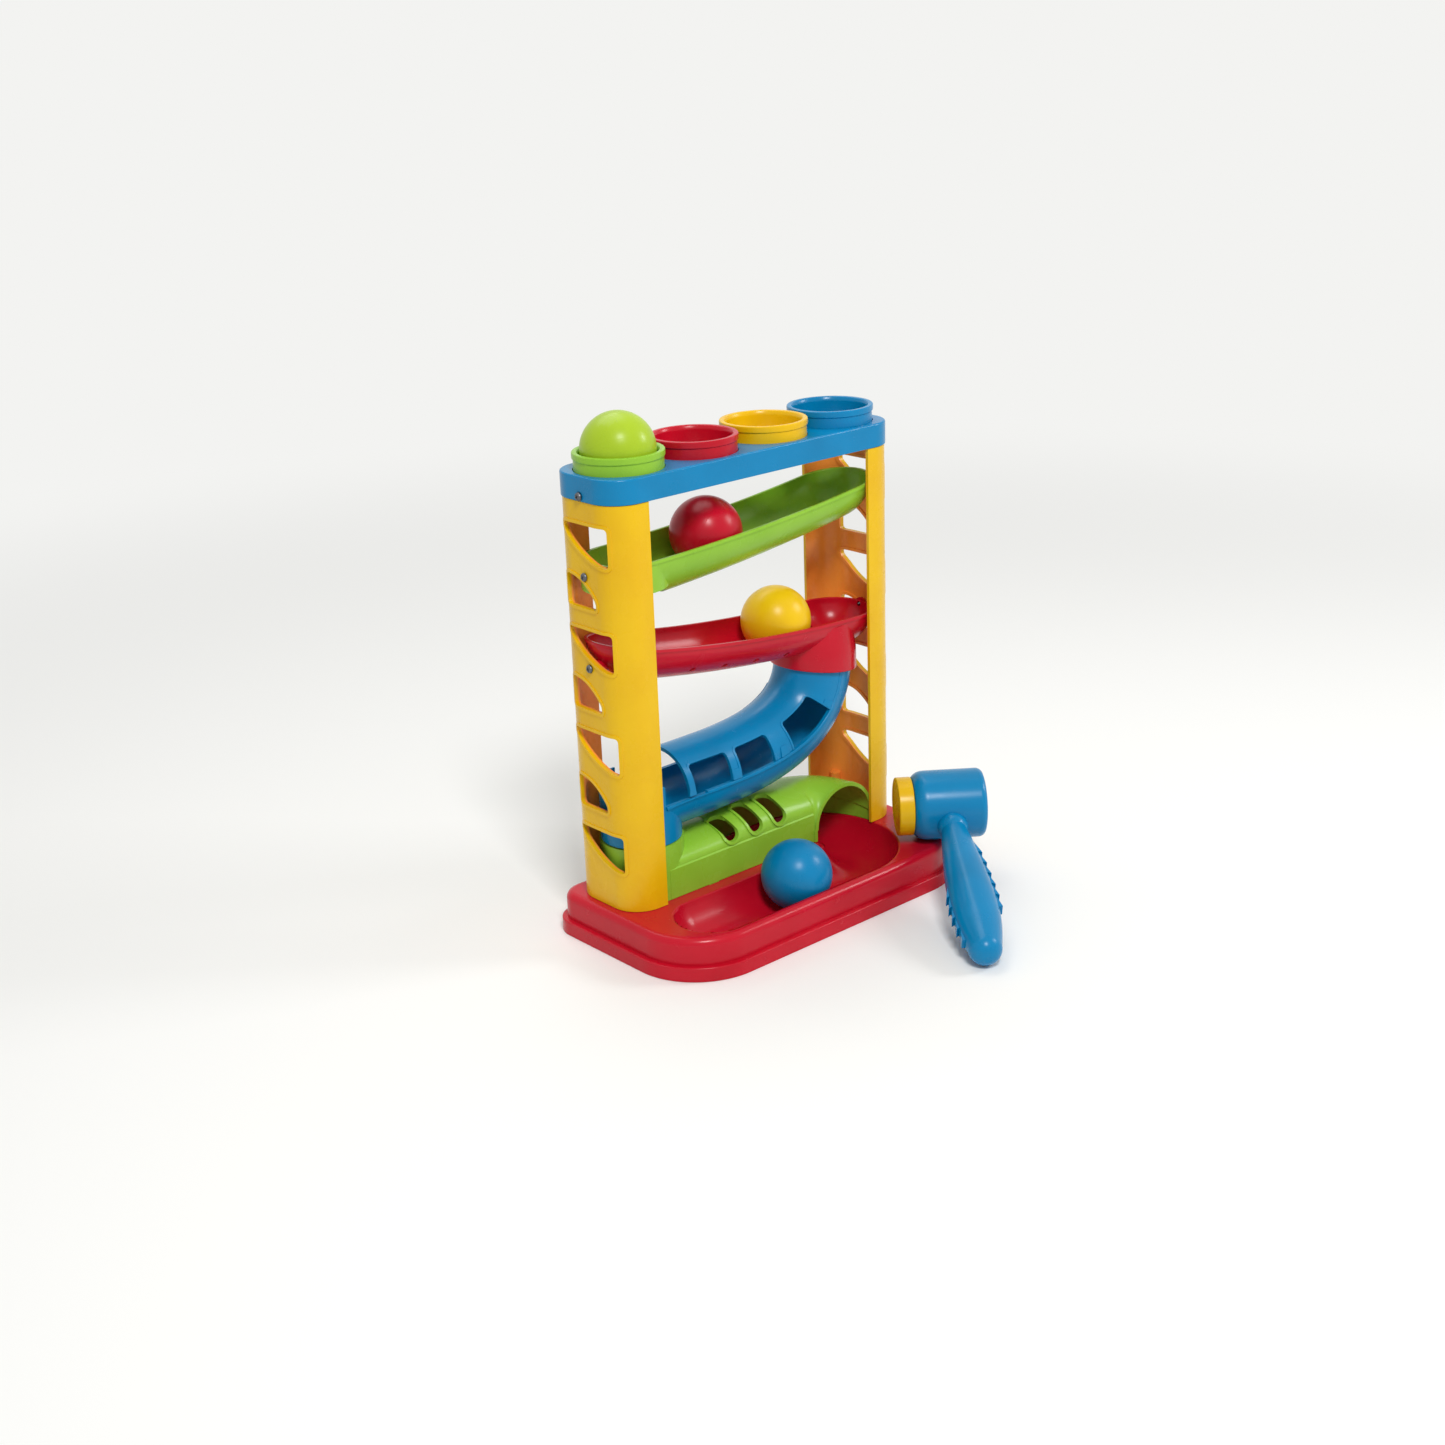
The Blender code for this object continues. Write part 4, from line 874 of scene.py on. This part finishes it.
def windowFrame(window, side):
    # A raised band beside the window's edge.
    rows = []
    inner, outer = windowPath(window, -0.6), windowPath(window, tube["frame"])
    out = tube["outer"] + tube["frameProud"]
    count = min(len(inner), len(outer)) * 2
    for k in range(count + 1):
        (ta, va), (tb, vb) = (along(path, k / count) for path in (inner, outer))
        corners = [(ta, va, 24.4), (ta, va, out), (tb, vb, out), (tb, vb, 24.4)]
        rows.append([onTube(t, r, v if side > 0 else math.pi - v) for t, v, r in corners])
    return skinned("windowFrame", rows)


def along(path, share):
    # The point at a share of a path's length.
    sizes = [math.hypot((b[0] - a[0]) * tube["run"], (b[1] - a[1]) * tube["outer"]) for a, b in zip(path, path[1:])]
    left = share * sum(sizes)
    for (a, b), size in zip(zip(path, path[1:]), sizes):
        if left <= size or b == path[-1]:
            k = min(1, left / size)
            return a[0] + (b[0] - a[0]) * k, a[1] + (b[1] - a[1]) * k
        left -= size


def seamFoot(t, side):
    # The small foot of a pillar between two windows.
    rows = []
    for turn in (0.012, 0.10, 0.2, 0.27):
        wide = 0.019 - 0.03 * turn
        out = 26.25 - 2.2 * turn
        corners = [(t - wide, 24.5), (t - wide, out), (t + wide, out), (t + wide, 24.5)]
        rows.append([onTube(u, r, turn if side > 0 else math.pi - turn) for u, r in corners])
    return skinned("seamFoot", rows)


lowerHalf = skinned("tubeLowerHalf", tubeRows(0, 1, tube["rows"], halfSection))
spout = turned("spout", [(0, tube["spoutLow"], 0), (tube["spoutOuter"], tube["spoutLow"], 0.6),
                         (tube["spoutOuter"], tube["spoutHigh"], 0.8), (0, tube["spoutHigh"], 0)], 96,
               (tube["points"][3][0], 0))
combine(lowerHalf, spout, "UNION")
inside = tubeRows(0, 1, tube["rows"], lambda t: roundSection(tube["inner"], 96))
combine(lowerHalf, skinned("inside", [[spot + Vector((0, 0, 4)) for spot in inside[0]]] + inside))
combine(lowerHalf, rod("hole", tube["spoutInner"], 50, 120, 96, (tube["points"][3][0], 0)))
combine(lowerHalf, block("mouth", (tube["points"][3][0] - 0.1, -30, tube["mouth"]), (-50, 30, 120)))
bevelAngles(lowerHalf, 0.25)
settle(lowerHalf, finishes["blue"], "tube_channel", "tower")

coverArch = archSection(tube["outer"], tube["inner"])
bandArch = archSection(tube["outer"] + tube["band"], 24.4)
cover = skinned("tubeCover", tubeRows(0, tube["coverEnd"], tube["rows"], lambda t: coverArch))
band = tubeRows(tube["coverEnd"] - 0.018, tube["coverEnd"], 2, lambda t: bandArch)
combine(cover, skinned("endBand", band), "UNION")
for side in (-1, 1):
    for window in tube["windows"]:
        combine(cover, windowFrame(window, side), "UNION")
    for t in tube["feet"]:
        combine(cover, seamFoot(t, side), "UNION")
for side in (-1, 1):
    for window in tube["windows"]:
        combine(cover, windowTool(window, side))
bevelAngles(cover, 0.25)
settle(cover, finishes["blue"], "tube_cover", "tower")
print("stage: tube")


# Tunnel: legs, a crease and an arched roof, swept along the track and turned to the front

tunnel = {
    "half": 26.3, "wall": 1.8, "foot": 26.3, "crease": 20, "spring": 8, "step": 0.8, "turnX": 39.5, "reach": 27,
    "tops": [(-83, 57.8), (-34, 58.6), (-33.4, 59.4), (-17, 63.0), (17, 63.0), (39.5, 61.7)], "exit": 59.1,
    "hoop": 26.15, "hoopInner": 24.2, "hoopTop": 62.2, "x": -83, "arc": 30, "turns": 20,
    "slots": (-30, -9.5, 11), "slotHalf": 5.6, "slotFoot": 48.5, "slotLean": 4, "slotEnd": -6.3, "rim": 2.0,
    "rimProud": 0.9, "lip": 0.65, "tabs": [(x, y) for x in (-48, 8) for y in (-25.4, 25.4)],
}


def tunnelOutline(half, crease, top, drop=0.0):
    fold = tunnel["foot"] + crease
    roof = []
    for i in range(tunnel["arc"] + 1):
        turn = math.pi * i / tunnel["arc"]
        roof.append(((half - tunnel["step"]) * math.cos(turn), fold + (top - fold) * math.sin(turn)))
    low = tunnel["foot"] - drop
    return [(half, low), (half, fold - tunnel["step"]), *roof, (-half, fold - tunnel["step"]), (-half, low)]


def tunnelStations():
    # Places, headings, roof heights and creases, from the hoop to the arch.
    t = tunnel
    stations = []
    for (x, top), (nextX, nextTop) in zip(t["tops"], t["tops"][1:]):
        count = max(1, round((nextX - x) / 3))
        for k in range(count):
            ease = (1 - math.cos(math.pi * k / count)) / 2
            stations.append((x + (nextX - x) * k / count, 0, 0, top + (nextTop - top) * ease, t["crease"]))
    last = t["tops"][-1][1]
    for k in range(t["turns"] + 1):
        s, turn = k / t["turns"], math.pi / 2 * k / t["turns"]
        x, y = t["turnX"] + t["reach"] * math.sin(turn), t["reach"] * (math.cos(turn) - 1)
        stations.append((x, y, -turn, last + (t["exit"] - last) * s, t["crease"] + (t["spring"] - t["crease"]) * s))
    return stations


def tunnelRows(stations, proud=0.0, thin=0.0):
    rows = []
    for x, y, heading, top, crease in stations:
        outer = tunnelOutline(tunnel["half"] + proud, crease, top + proud)
        inner = tunnelOutline(tunnel["half"] - tunnel["wall"] + thin, crease, top - tunnel["wall"] + thin)
        side = Vector((math.sin(heading), -math.cos(heading), 0))
        rows.append([Vector((x, y, 0)) + side * u + Vector((0, 0, v)) for u, v in outer + inner[::-1]])
    return rows


def slotTool(x, grow):
    # A leaning slot, round at its foot and at its end on the roof.
    t = tunnel
    r = t["slotHalf"] + grow
    foot, high = t["slotFoot"] + t["slotHalf"], 70
    lean = t["slotLean"] * (high - foot) / 13.25
    outline = [(x + r * math.cos(a), foot + r * math.sin(a)) for a in (math.pi * (1 + k / 12) for k in range(13))]
    outline += [(x + r - lean, high), (x - r - lean, high)]
    tool = raised("slotTool", [(u, -34, v) for u, v in outline], (0, 34 + t["slotEnd"] + grow, 0))
    centre, end = x - 2.4, t["slotEnd"] - t["slotHalf"]
    plan = [(centre + (r + 0.8) * math.cos(a), end + r * math.sin(a)) for a in (math.pi * k / 12 for k in range(13))]
    plan = [(centre + r + 6, end - 4), *plan, (centre - r - 6, end - 4), (centre - r - 6, -36), (centre + r + 6, -36)]
    return combine(tool, raised("slotPlan", [(u, v, 40) for u, v in plan], (0, 0, 32)), "INTERSECT")


stations = tunnelStations()
roofing = skinned("tunnelShell", tunnelRows(stations))
lipRows = tunnelRows([station for station in stations if station[1] < 0 and -station[2] > 1.47], tunnel["lip"])
combine(roofing, skinned("archLip", lipRows), "UNION")
hoop = rod("tunnelHoop", tunnel["hoop"], tunnel["foot"] - 0.1, tunnel["hoopTop"], 96, (tunnel["x"], 0))
combine(roofing, hoop, "UNION")
straight = [station for station in stations if -40 < station[0] <= 30 and station[1] == 0]
for x in tunnel["slots"]:
    rim = skinned("slotRim", tunnelRows(straight, tunnel["rimProud"], 0.3))
    combine(rim, slotTool(x, tunnel["rim"]), "INTERSECT")
    combine(roofing, rim, "UNION")
for x in tunnel["slots"]:
    combine(roofing, slotTool(x, 0))
combine(roofing, rod("drop", tunnel["hoopInner"], 20, 70, 96, (tunnel["x"], 0)))
way = [(tunnel["x"], u, v) for u, v in tunnelOutline(tunnel["hoopInner"], tunnel["crease"], 55.7, 3)]
combine(roofing, raised("passage", way, (49, 0, 0)))
for x, y in tunnel["tabs"]:
    combine(roofing, block("tab", (x - 4, y - 0.8, 21.3), (x + 4, y + 0.8, 31)), "UNION")
bevelAngles(roofing, 0.22)
settle(roofing, finishes["green"], "tunnel", "tower")
print("stage: tunnel")


# Base: a tray with a skirt, the return track and the trough pressed into its deck, hollow underneath

base = {
    "end": 126, "front": -94, "back": 42, "frontCorner": 46, "backCorner": 18, "skirt": 9, "step": 3.5,
    "top": 26, "round": 5, "track": 24.5, "floor": 26.7, "trackZ": 31.4, "trackX": -83, "turnX": 36.5,
    "turnY": -30, "troughX": -78.5, "edge": 1.8, "foot": 9, "wall": 2.4, "bosses": (105.6, 20.6), "boss": 4.5,
}


def plate(name, inset, low, high):
    b = base
    piece = block(name, (inset - b["end"], b["front"] + inset, low), (b["end"] - inset, b["back"] - inset, high))
    edit(piece)
    pick("edges", lambda edge: upright(edge) and edge.verts[0].co.y < 0)
    bpy.ops.mesh.bevel(offset=b["frontCorner"] - inset, segments=32)
    pick("edges", lambda edge: upright(edge) and edge.verts[0].co.y > b["back"] - inset - 0.1
         and abs(edge.verts[0].co.x) > b["end"] - inset - 0.1)
    bpy.ops.mesh.bevel(offset=b["backCorner"] - inset, segments=16)
    return leave()


def track(name, radius):
    # The ball's path: right under the tunnel, round to the front and left to the end of the trough.
    b = base
    places = [((b["trackX"], 0), 0)]
    for i in range(37):
        turn = math.pi / 2 - math.pi * i / 36
        reach = -b["turnY"]
        places.append(((b["turnX"] + reach * math.cos(turn), b["turnY"] + reach * math.sin(turn)), -math.pi * i / 36))
    places.append(((b["troughX"], 2 * b["turnY"]), -math.pi))
    rings = []
    for (x, y), heading in places:
        rings.append((Vector((x, y, b["trackZ"])), heading, 1))
    for end, way in ((0, -1), (-1, 1)):
        spot, heading, _ = rings[end]
        ahead = Vector((math.cos(heading), math.sin(heading), 0)) * way * radius
        turns = [math.radians(88 * k / 14) for k in range(1, 15)]
        tips = [(spot + ahead * math.sin(turn), heading, math.cos(turn)) for turn in turns]
        rings = tips[::-1] + rings if way < 0 else rings + tips
    rows = []
    for spot, heading, scale in rings:
        side = Vector((math.sin(heading), -math.cos(heading), 0))
        rows.append([spot + (side * u + Vector((0, 0, v))) * scale for u, v in roundSection(radius, 80)])
    return skinned(name, rows)


def trackReach(spot):
    # How far a point lies from the middle of the track, seen from above.
    b = base
    if spot.x > b["turnX"]:
        return abs((spot.xy - Vector((b["turnX"], b["turnY"]))).length + b["turnY"])
    behind = Vector((max(b["trackX"], spot.x), 0))
    before = Vector((max(b["troughX"], spot.x), 2 * b["turnY"]))
    return min((spot.xy - behind).length, (spot.xy - before).length)


tray = plate("baseTray", 0, 0, base["skirt"])
edit(tray)
pick("faces", level(base["skirt"]))
bpy.ops.mesh.inset(thickness=base["step"])
pull((0, 0, base["top"] - base["skirt"]))
pick("edges", level(base["top"]))
bpy.ops.mesh.bevel(offset=base["round"], segments=7)
pick("edges", lambda edge: level(base["skirt"])(edge) and len(edge.link_faces) == 2
     and any(face.normal.z < 0.1 and face.calc_center_median().z < base["skirt"] for face in edge.link_faces))
bpy.ops.mesh.bevel(offset=0.9, segments=3)
leave()
combine(tray, track("trackTool", base["track"]))
edit(tray)
wide = math.sqrt(base["track"] ** 2 - (base["trackZ"] - base["top"]) ** 2)
pick("edges", lambda edge: level(base["top"])(edge)
     and all(abs(trackReach(vert.co) - wide) < 0.15 for vert in edge.verts))
bpy.ops.mesh.bevel(offset=base["edge"], segments=5)
leave()
hollow = plate("hollow", base["wall"], -3, base["skirt"] - base["wall"])
edit(hollow)
pick("faces", level(base["skirt"] - base["wall"]))
bpy.ops.mesh.inset(thickness=4)
pull((0, 0, base["top"] - base["skirt"]))
pick("edges", level(base["top"] - base["wall"]))
bpy.ops.mesh.bevel(offset=4.4, segments=4)
leave()
combine(hollow, track("trackFloor", base["floor"]))
for x in (-35, 35):
    combine(hollow, block("rib", (x - 1, -100, 1.5), (x + 1, 50, 30)))
combine(hollow, rod("foot", base["foot"], -6, 30, 63))
places = [(x, y) for x in (-base["bosses"][0], base["bosses"][0]) for y in (-base["bosses"][1], base["bosses"][1])]
for place in places:
    combine(hollow, rod("boss", base["boss"], 9.5, 30, 32, place))
combine(tray, hollow)
for place in places:
    combine(tray, rod("screwHole", 1.6, -5, 30, 24, place))
for x, y in tunnel["tabs"]:
    combine(tray, block("tabSlot", (x - 4.3, y - 1.2, 18), (x + 4.3, y + 1.2, 30)))
settle(tray, finishes["red"], "base_tray", "tower")
print("stage: base")


# Hammer: barrel, face cap and a leaf-shaped grip with teeth along its flanks

hammer = {
    "place": (107, -81, 48.8), "turn": math.radians(-38), "tilt": math.radians(15.81), "sides": 96,
    "barrel": [(0, 24.5, 0), (13, 24.4, 5), (20.9, 23.2, 1.2), (22.5, 20.9, 1.4), (22.5, -18.6, 4.2), (18.6, -23, 1.2),
               (13.3, -23, 0), (13.3, -18.7, 0), (0, -18.7, 0)],
    "cap": [(0, -19.3, 0), (13, -19.3, 0.4), (13, -23.3, 0), (19, -23.3, 0.6), (19, -33.3, 1.1), (15.6, -33.3, 0.8),
            (14.6, -32.7, 0.8), (0, -32.5, 0)],
    "stations": [(10.5, 7.8, 7.8), (23.7, 7.8, 7.8), (27, 8.0, 8.1), (30, 8.4, 8.4), (37, 9.5, 9.1), (45, 10.5, 9.8),
                 (54, 11.6, 10.5), (63, 12.6, 11.1), (72, 13.5, 11.6), (82.5, 14.25, 12.0), (91, 14.75, 12.15),
                 (99, 15.0, 12.2), (107, 14.9, 12.15), (114, 14.55, 12.0), (122, 13.7, 11.6), (129, 12.6, 11.2),
                 (134, 11.7, 10.9), (139.5, 10.5, 10.5)],
    "teeth": {1: (44, 106), -1: (86, 134)}, "pitch": 10.5, "toothReach": {1: 1.9, -1: 1.4},
    "tooth": 3.4, "hook": 0.9, "neck": 9.7,
}


def posed(piece):
    # Lays a piece modelled along the hammer's own axes in the hammer's place.
    edit(piece)
    swing(-hammer["tilt"], "X")
    swing(-hammer["turn"], "Z")
    bpy.ops.transform.translate(value=hammer["place"])
    return leave()


def layAlongX(piece):
    edit(piece)
    swing(-math.pi / 2, "Y")
    return leave()


def gripHalf(y):
    for (a, wideA, _), (b, wideB, _) in zip(hammer["stations"], hammer["stations"][1:]):
        if y <= b:
            return wideA + (wideB - wideA) * (y - a) / (b - a)


def teethPlate(side):
    # Barbs along a flank that lean towards the tip.
    h = hammer
    low, high = h["teeth"][side]
    count = round((high - low) / h["pitch"])
    step = (high - low) / count
    corners = []
    for i in range(count):
        start, end = low + i * step, low + (i + 1) * step
        corners.append((gripHalf(start) - 0.9, h["hook"] - start, 0.8))
        corners.append((gripHalf((start + end) / 2) + 0.4, -(start + end) / 2, 5))
        corners.append((gripHalf(end) + h["toothReach"][side], -h["hook"] - end, 0.5))
    corners += [(4, -high, 0), (4, h["hook"] - low, 0)]
    outline = [(side * u, v, -h["tooth"]) for u, v in soft(corners, 4)]
    piece = raised("teeth", outline, (0, 0, 2 * h["tooth"]))
    return bevelAngles(piece, 0.8, 3, 70)


barrel = layAlongX(turned("hammerBarrel", hammer["barrel"], hammer["sides"]))
combine(barrel, rod("socket", 8.1, -30, -10.2, 48, (0, 0), "Y"))
settle(posed(barrel), finishes["blue"], "hammer_barrel", "hammer")
cap = layAlongX(turned("hammerCap", hammer["cap"], hammer["sides"]))
settle(posed(cap), finishes["yellow"], "hammer_cap", "hammer")

bpy.ops.object.select_all(action="DESELECT")
bpy.ops.mesh.primitive_circle_add(vertices=64, radius=hammer["stations"][0][1], fill_type="NGON",
                                  rotation=(math.pi / 2, 0, 0))
grip = bpy.context.active_object
grip.name = "hammerGrip"
bpy.ops.object.transform_apply(rotation=True)
edit(grip)
bpy.ops.transform.translate(value=(0, -hammer["stations"][0][0], 0))
last, tip, _ = hammer["stations"][-1]
turns = [math.radians(9 * k) for k in range(1, 10)]
ends = [(last + tip * math.sin(turn), tip * math.cos(turn), tip * math.cos(turn)) for turn in turns]
path = hammer["stations"] + ends
for (y, wide, thick), (nextY, nextWide, nextThick) in zip(path, path[1:]):
    pull((0, y - nextY, 0))
    bpy.ops.transform.resize(value=(nextWide / wide, 1, nextThick / thick))
tidy()
leave()
bpy.ops.object.select_all(action="DESELECT")
bpy.ops.mesh.primitive_uv_sphere_add(segments=64, ring_count=40, radius=hammer["neck"], location=(0, -24.5, 0))
combine(grip, bpy.context.active_object, "UNION")
for side in (-1, 1):
    combine(grip, teethPlate(side), "UNION")
settle(posed(grip), finishes["blue"], "hammer_handle", "hammer")
print("stage: hammer")


# Screws: plated pan heads with a cross recess

screw = {
    "profile": [(0, -1.6, 0), (1.9, -1.6, 0.7), (2.6, -0.7, 0.5), (2.6, 0, 0.15), (1.3, 0, 0)],
    "cross": (2.7, 0.6, 0.75), "column": 115.3, "rail": 116.0,
}


def makeScrew(length):
    corners = screw["profile"] + [(1.3, length - 1.3, 0), (0.3, length, 0), (0, length, 0)]
    piece = turned("screw", corners, 32)
    long, wide, deep = screw["cross"]
    for turn in (0, math.pi / 2):
        slot = block("cross", (-long / 2, -wide / 2, -2), (long / 2, wide / 2, deep - 1.6))
        edit(slot)
        swing(turn + 0.4, "Z")
        leave()
        combine(piece, slot)
    return piece


def placeScrews(master, places):
    for node, spot, lean in places:
        twin = copied(master, "screw_" + node)
        edit(twin)
        swing(lean, "Y")
        bpy.ops.transform.translate(value=spot)
        leave()
        settle(twin, finishes["steel"], node, "tower")
    bpy.data.objects.remove(master)


sideScrews, railScrews, footScrews = [], [], []
for side, word in ((-1, "left"), (1, "right")):
    for ramp, values in (("upper", upperRamp), ("lower", lowerRamp)):
        spot = (side * screw["column"], 0, values["screws"][side])
        sideScrews.append((f"{ramp}_ramp_screw_{word}", spot, side * math.pi / 2))
    railScrews.append((f"rail_screw_{word}", (side * screw["rail"], 0, rail["screw"]), side * math.pi / 2))
    for y, tail in ((-1, "front"), (1, "back")):
        spot = (side * base["bosses"][0], y * base["bosses"][1], 9.2)
        footScrews.append((f"foot_screw_{word}_{tail}", spot, 0))
placeScrews(makeScrew(6.8), sideScrews)
placeScrews(makeScrew(4.6), railScrews)
placeScrews(makeScrew(22), footScrews)
print("stage: screws")


# Stage, light and camera

def seenDirectly(tree):
    # 1 for what the camera sees, also through gloss or clear plastic, and 0 for light that falls on things.
    seen = addNode(tree, "LightPath", {}, {}).outputs
    most = seen["Is Camera Ray"]
    for ray in ("Is Glossy Ray", "Is Transmission Ray"):
        most = addNode(tree, "Math", {"operation": "MAXIMUM"}, {0: most, 1: seen[ray]}).outputs["Value"]
    return most


def sweepFinish(name, colour, tone):
    # Matt paper that keeps the shadow near the toy and runs out into an even pale tone far away.
    finish, tree, shader = newFinish(name)
    shader.inputs["Base Color"].default_value = hexColour(colour)
    shader.inputs["Roughness"].default_value = 0.9
    shader.inputs["Specular IOR Level"].default_value = 0.1
    place = addNode(tree, "TexCoord", {}, {}).outputs["Object"]
    away = addNode(tree, "VectorMath", {"operation": "LENGTH"}, {0: place})
    far = addNode(tree, "MapRange", {"interpolation_type": "SMOOTHSTEP", "From Min": 0.35, "From Max": 1.5},
                  {"Value": away.outputs["Value"]})
    share = addNode(tree, "Math", {"operation": "MULTIPLY"}, {0: far.outputs["Result"], 1: seenDirectly(tree)})
    even = addNode(tree, "Emission", {"Color": hexColour(tone), "Strength": 1.0}, {})
    layers = {0: share.outputs["Value"], 1: shader.outputs["BSDF"], 2: even.outputs["Emission"]}
    blend = addNode(tree, "MixShader", {}, layers)
    tree.links.new(blend.outputs["Shader"], tree.nodes["Material Output"].inputs["Surface"])
    return finish


bpy.ops.object.select_all(action="DESELECT")
bpy.ops.mesh.primitive_plane_add(size=30)
ground = bpy.context.active_object
ground.name = "studioFloor"
ground.location.z = -0.0002
ground.data.materials.append(sweepFinish("palePaperSweep", "#F6F6F4", "#F3F3F1"))

world = bpy.data.worlds.new("studio")
bpy.context.scene.world = world
world.use_nodes = True
tree = world.node_tree
shell = tree.nodes["Background"]
shell.inputs["Color"].default_value = hexColour("#F3F3F1")
strength = addNode(tree, "MapRange", {"To Min": 0.42, "To Max": 1.0}, {"Value": seenDirectly(tree)})
tree.links.new(strength.outputs["Result"], shell.inputs["Strength"])


def softLight(name, spot, aim, size, power):
    lamp = bpy.data.lights.new(name, "AREA")
    lamp.shape, lamp.size, lamp.energy = "SQUARE", size, power
    light = bpy.data.objects.new(name, lamp)
    bpy.context.scene.collection.objects.link(light)
    light.location = spot
    light.rotation_mode = "QUATERNION"
    light.rotation_quaternion = (Vector(aim) - Vector(spot)).to_track_quat("-Z", "Y")


softLight("key", (-0.6, -1.05, 1.5), (0, 0, 0.15), 0.4, 17.5)
softLight("fill", (1.1, -0.8, 0.9), (0, 0, 0.15), 0.4, 6)
softLight("top", (0.1, 0.6, 1.4), (0, 0, 0.15), 1.0, 7)

view = {"place": (-788, -891, 547), "azimuth": -41, "elevation": 20, "roll": -2.1, "focal": 1990, "frame": 1445}
lens = bpy.data.cameras.new("camera")
lens.sensor_width = 36
lens.lens = 36 * view["focal"] / view["frame"]
camera = bpy.data.objects.new("camera", lens)
bpy.context.scene.collection.objects.link(camera)
bpy.context.scene.camera = camera
turn, lift, roll = (math.radians(view[key]) for key in ("azimuth", "elevation", "roll"))
ahead = Vector((-math.sin(turn) * math.cos(lift), math.cos(turn) * math.cos(lift), -math.sin(lift)))
right = ahead.cross(Vector((0, 0, 1))).normalized()
up = right.cross(ahead)
right, up = right * math.cos(roll) + up * math.sin(roll), up * math.cos(roll) - right * math.sin(roll)
spot = Matrix.Translation([value / 1000 for value in view["place"]])
camera.matrix_world = spot @ Matrix((right, up, -ahead)).transposed().to_4x4()
bpy.context.scene.view_settings.view_transform = "Standard"
print("stage: camera and light")
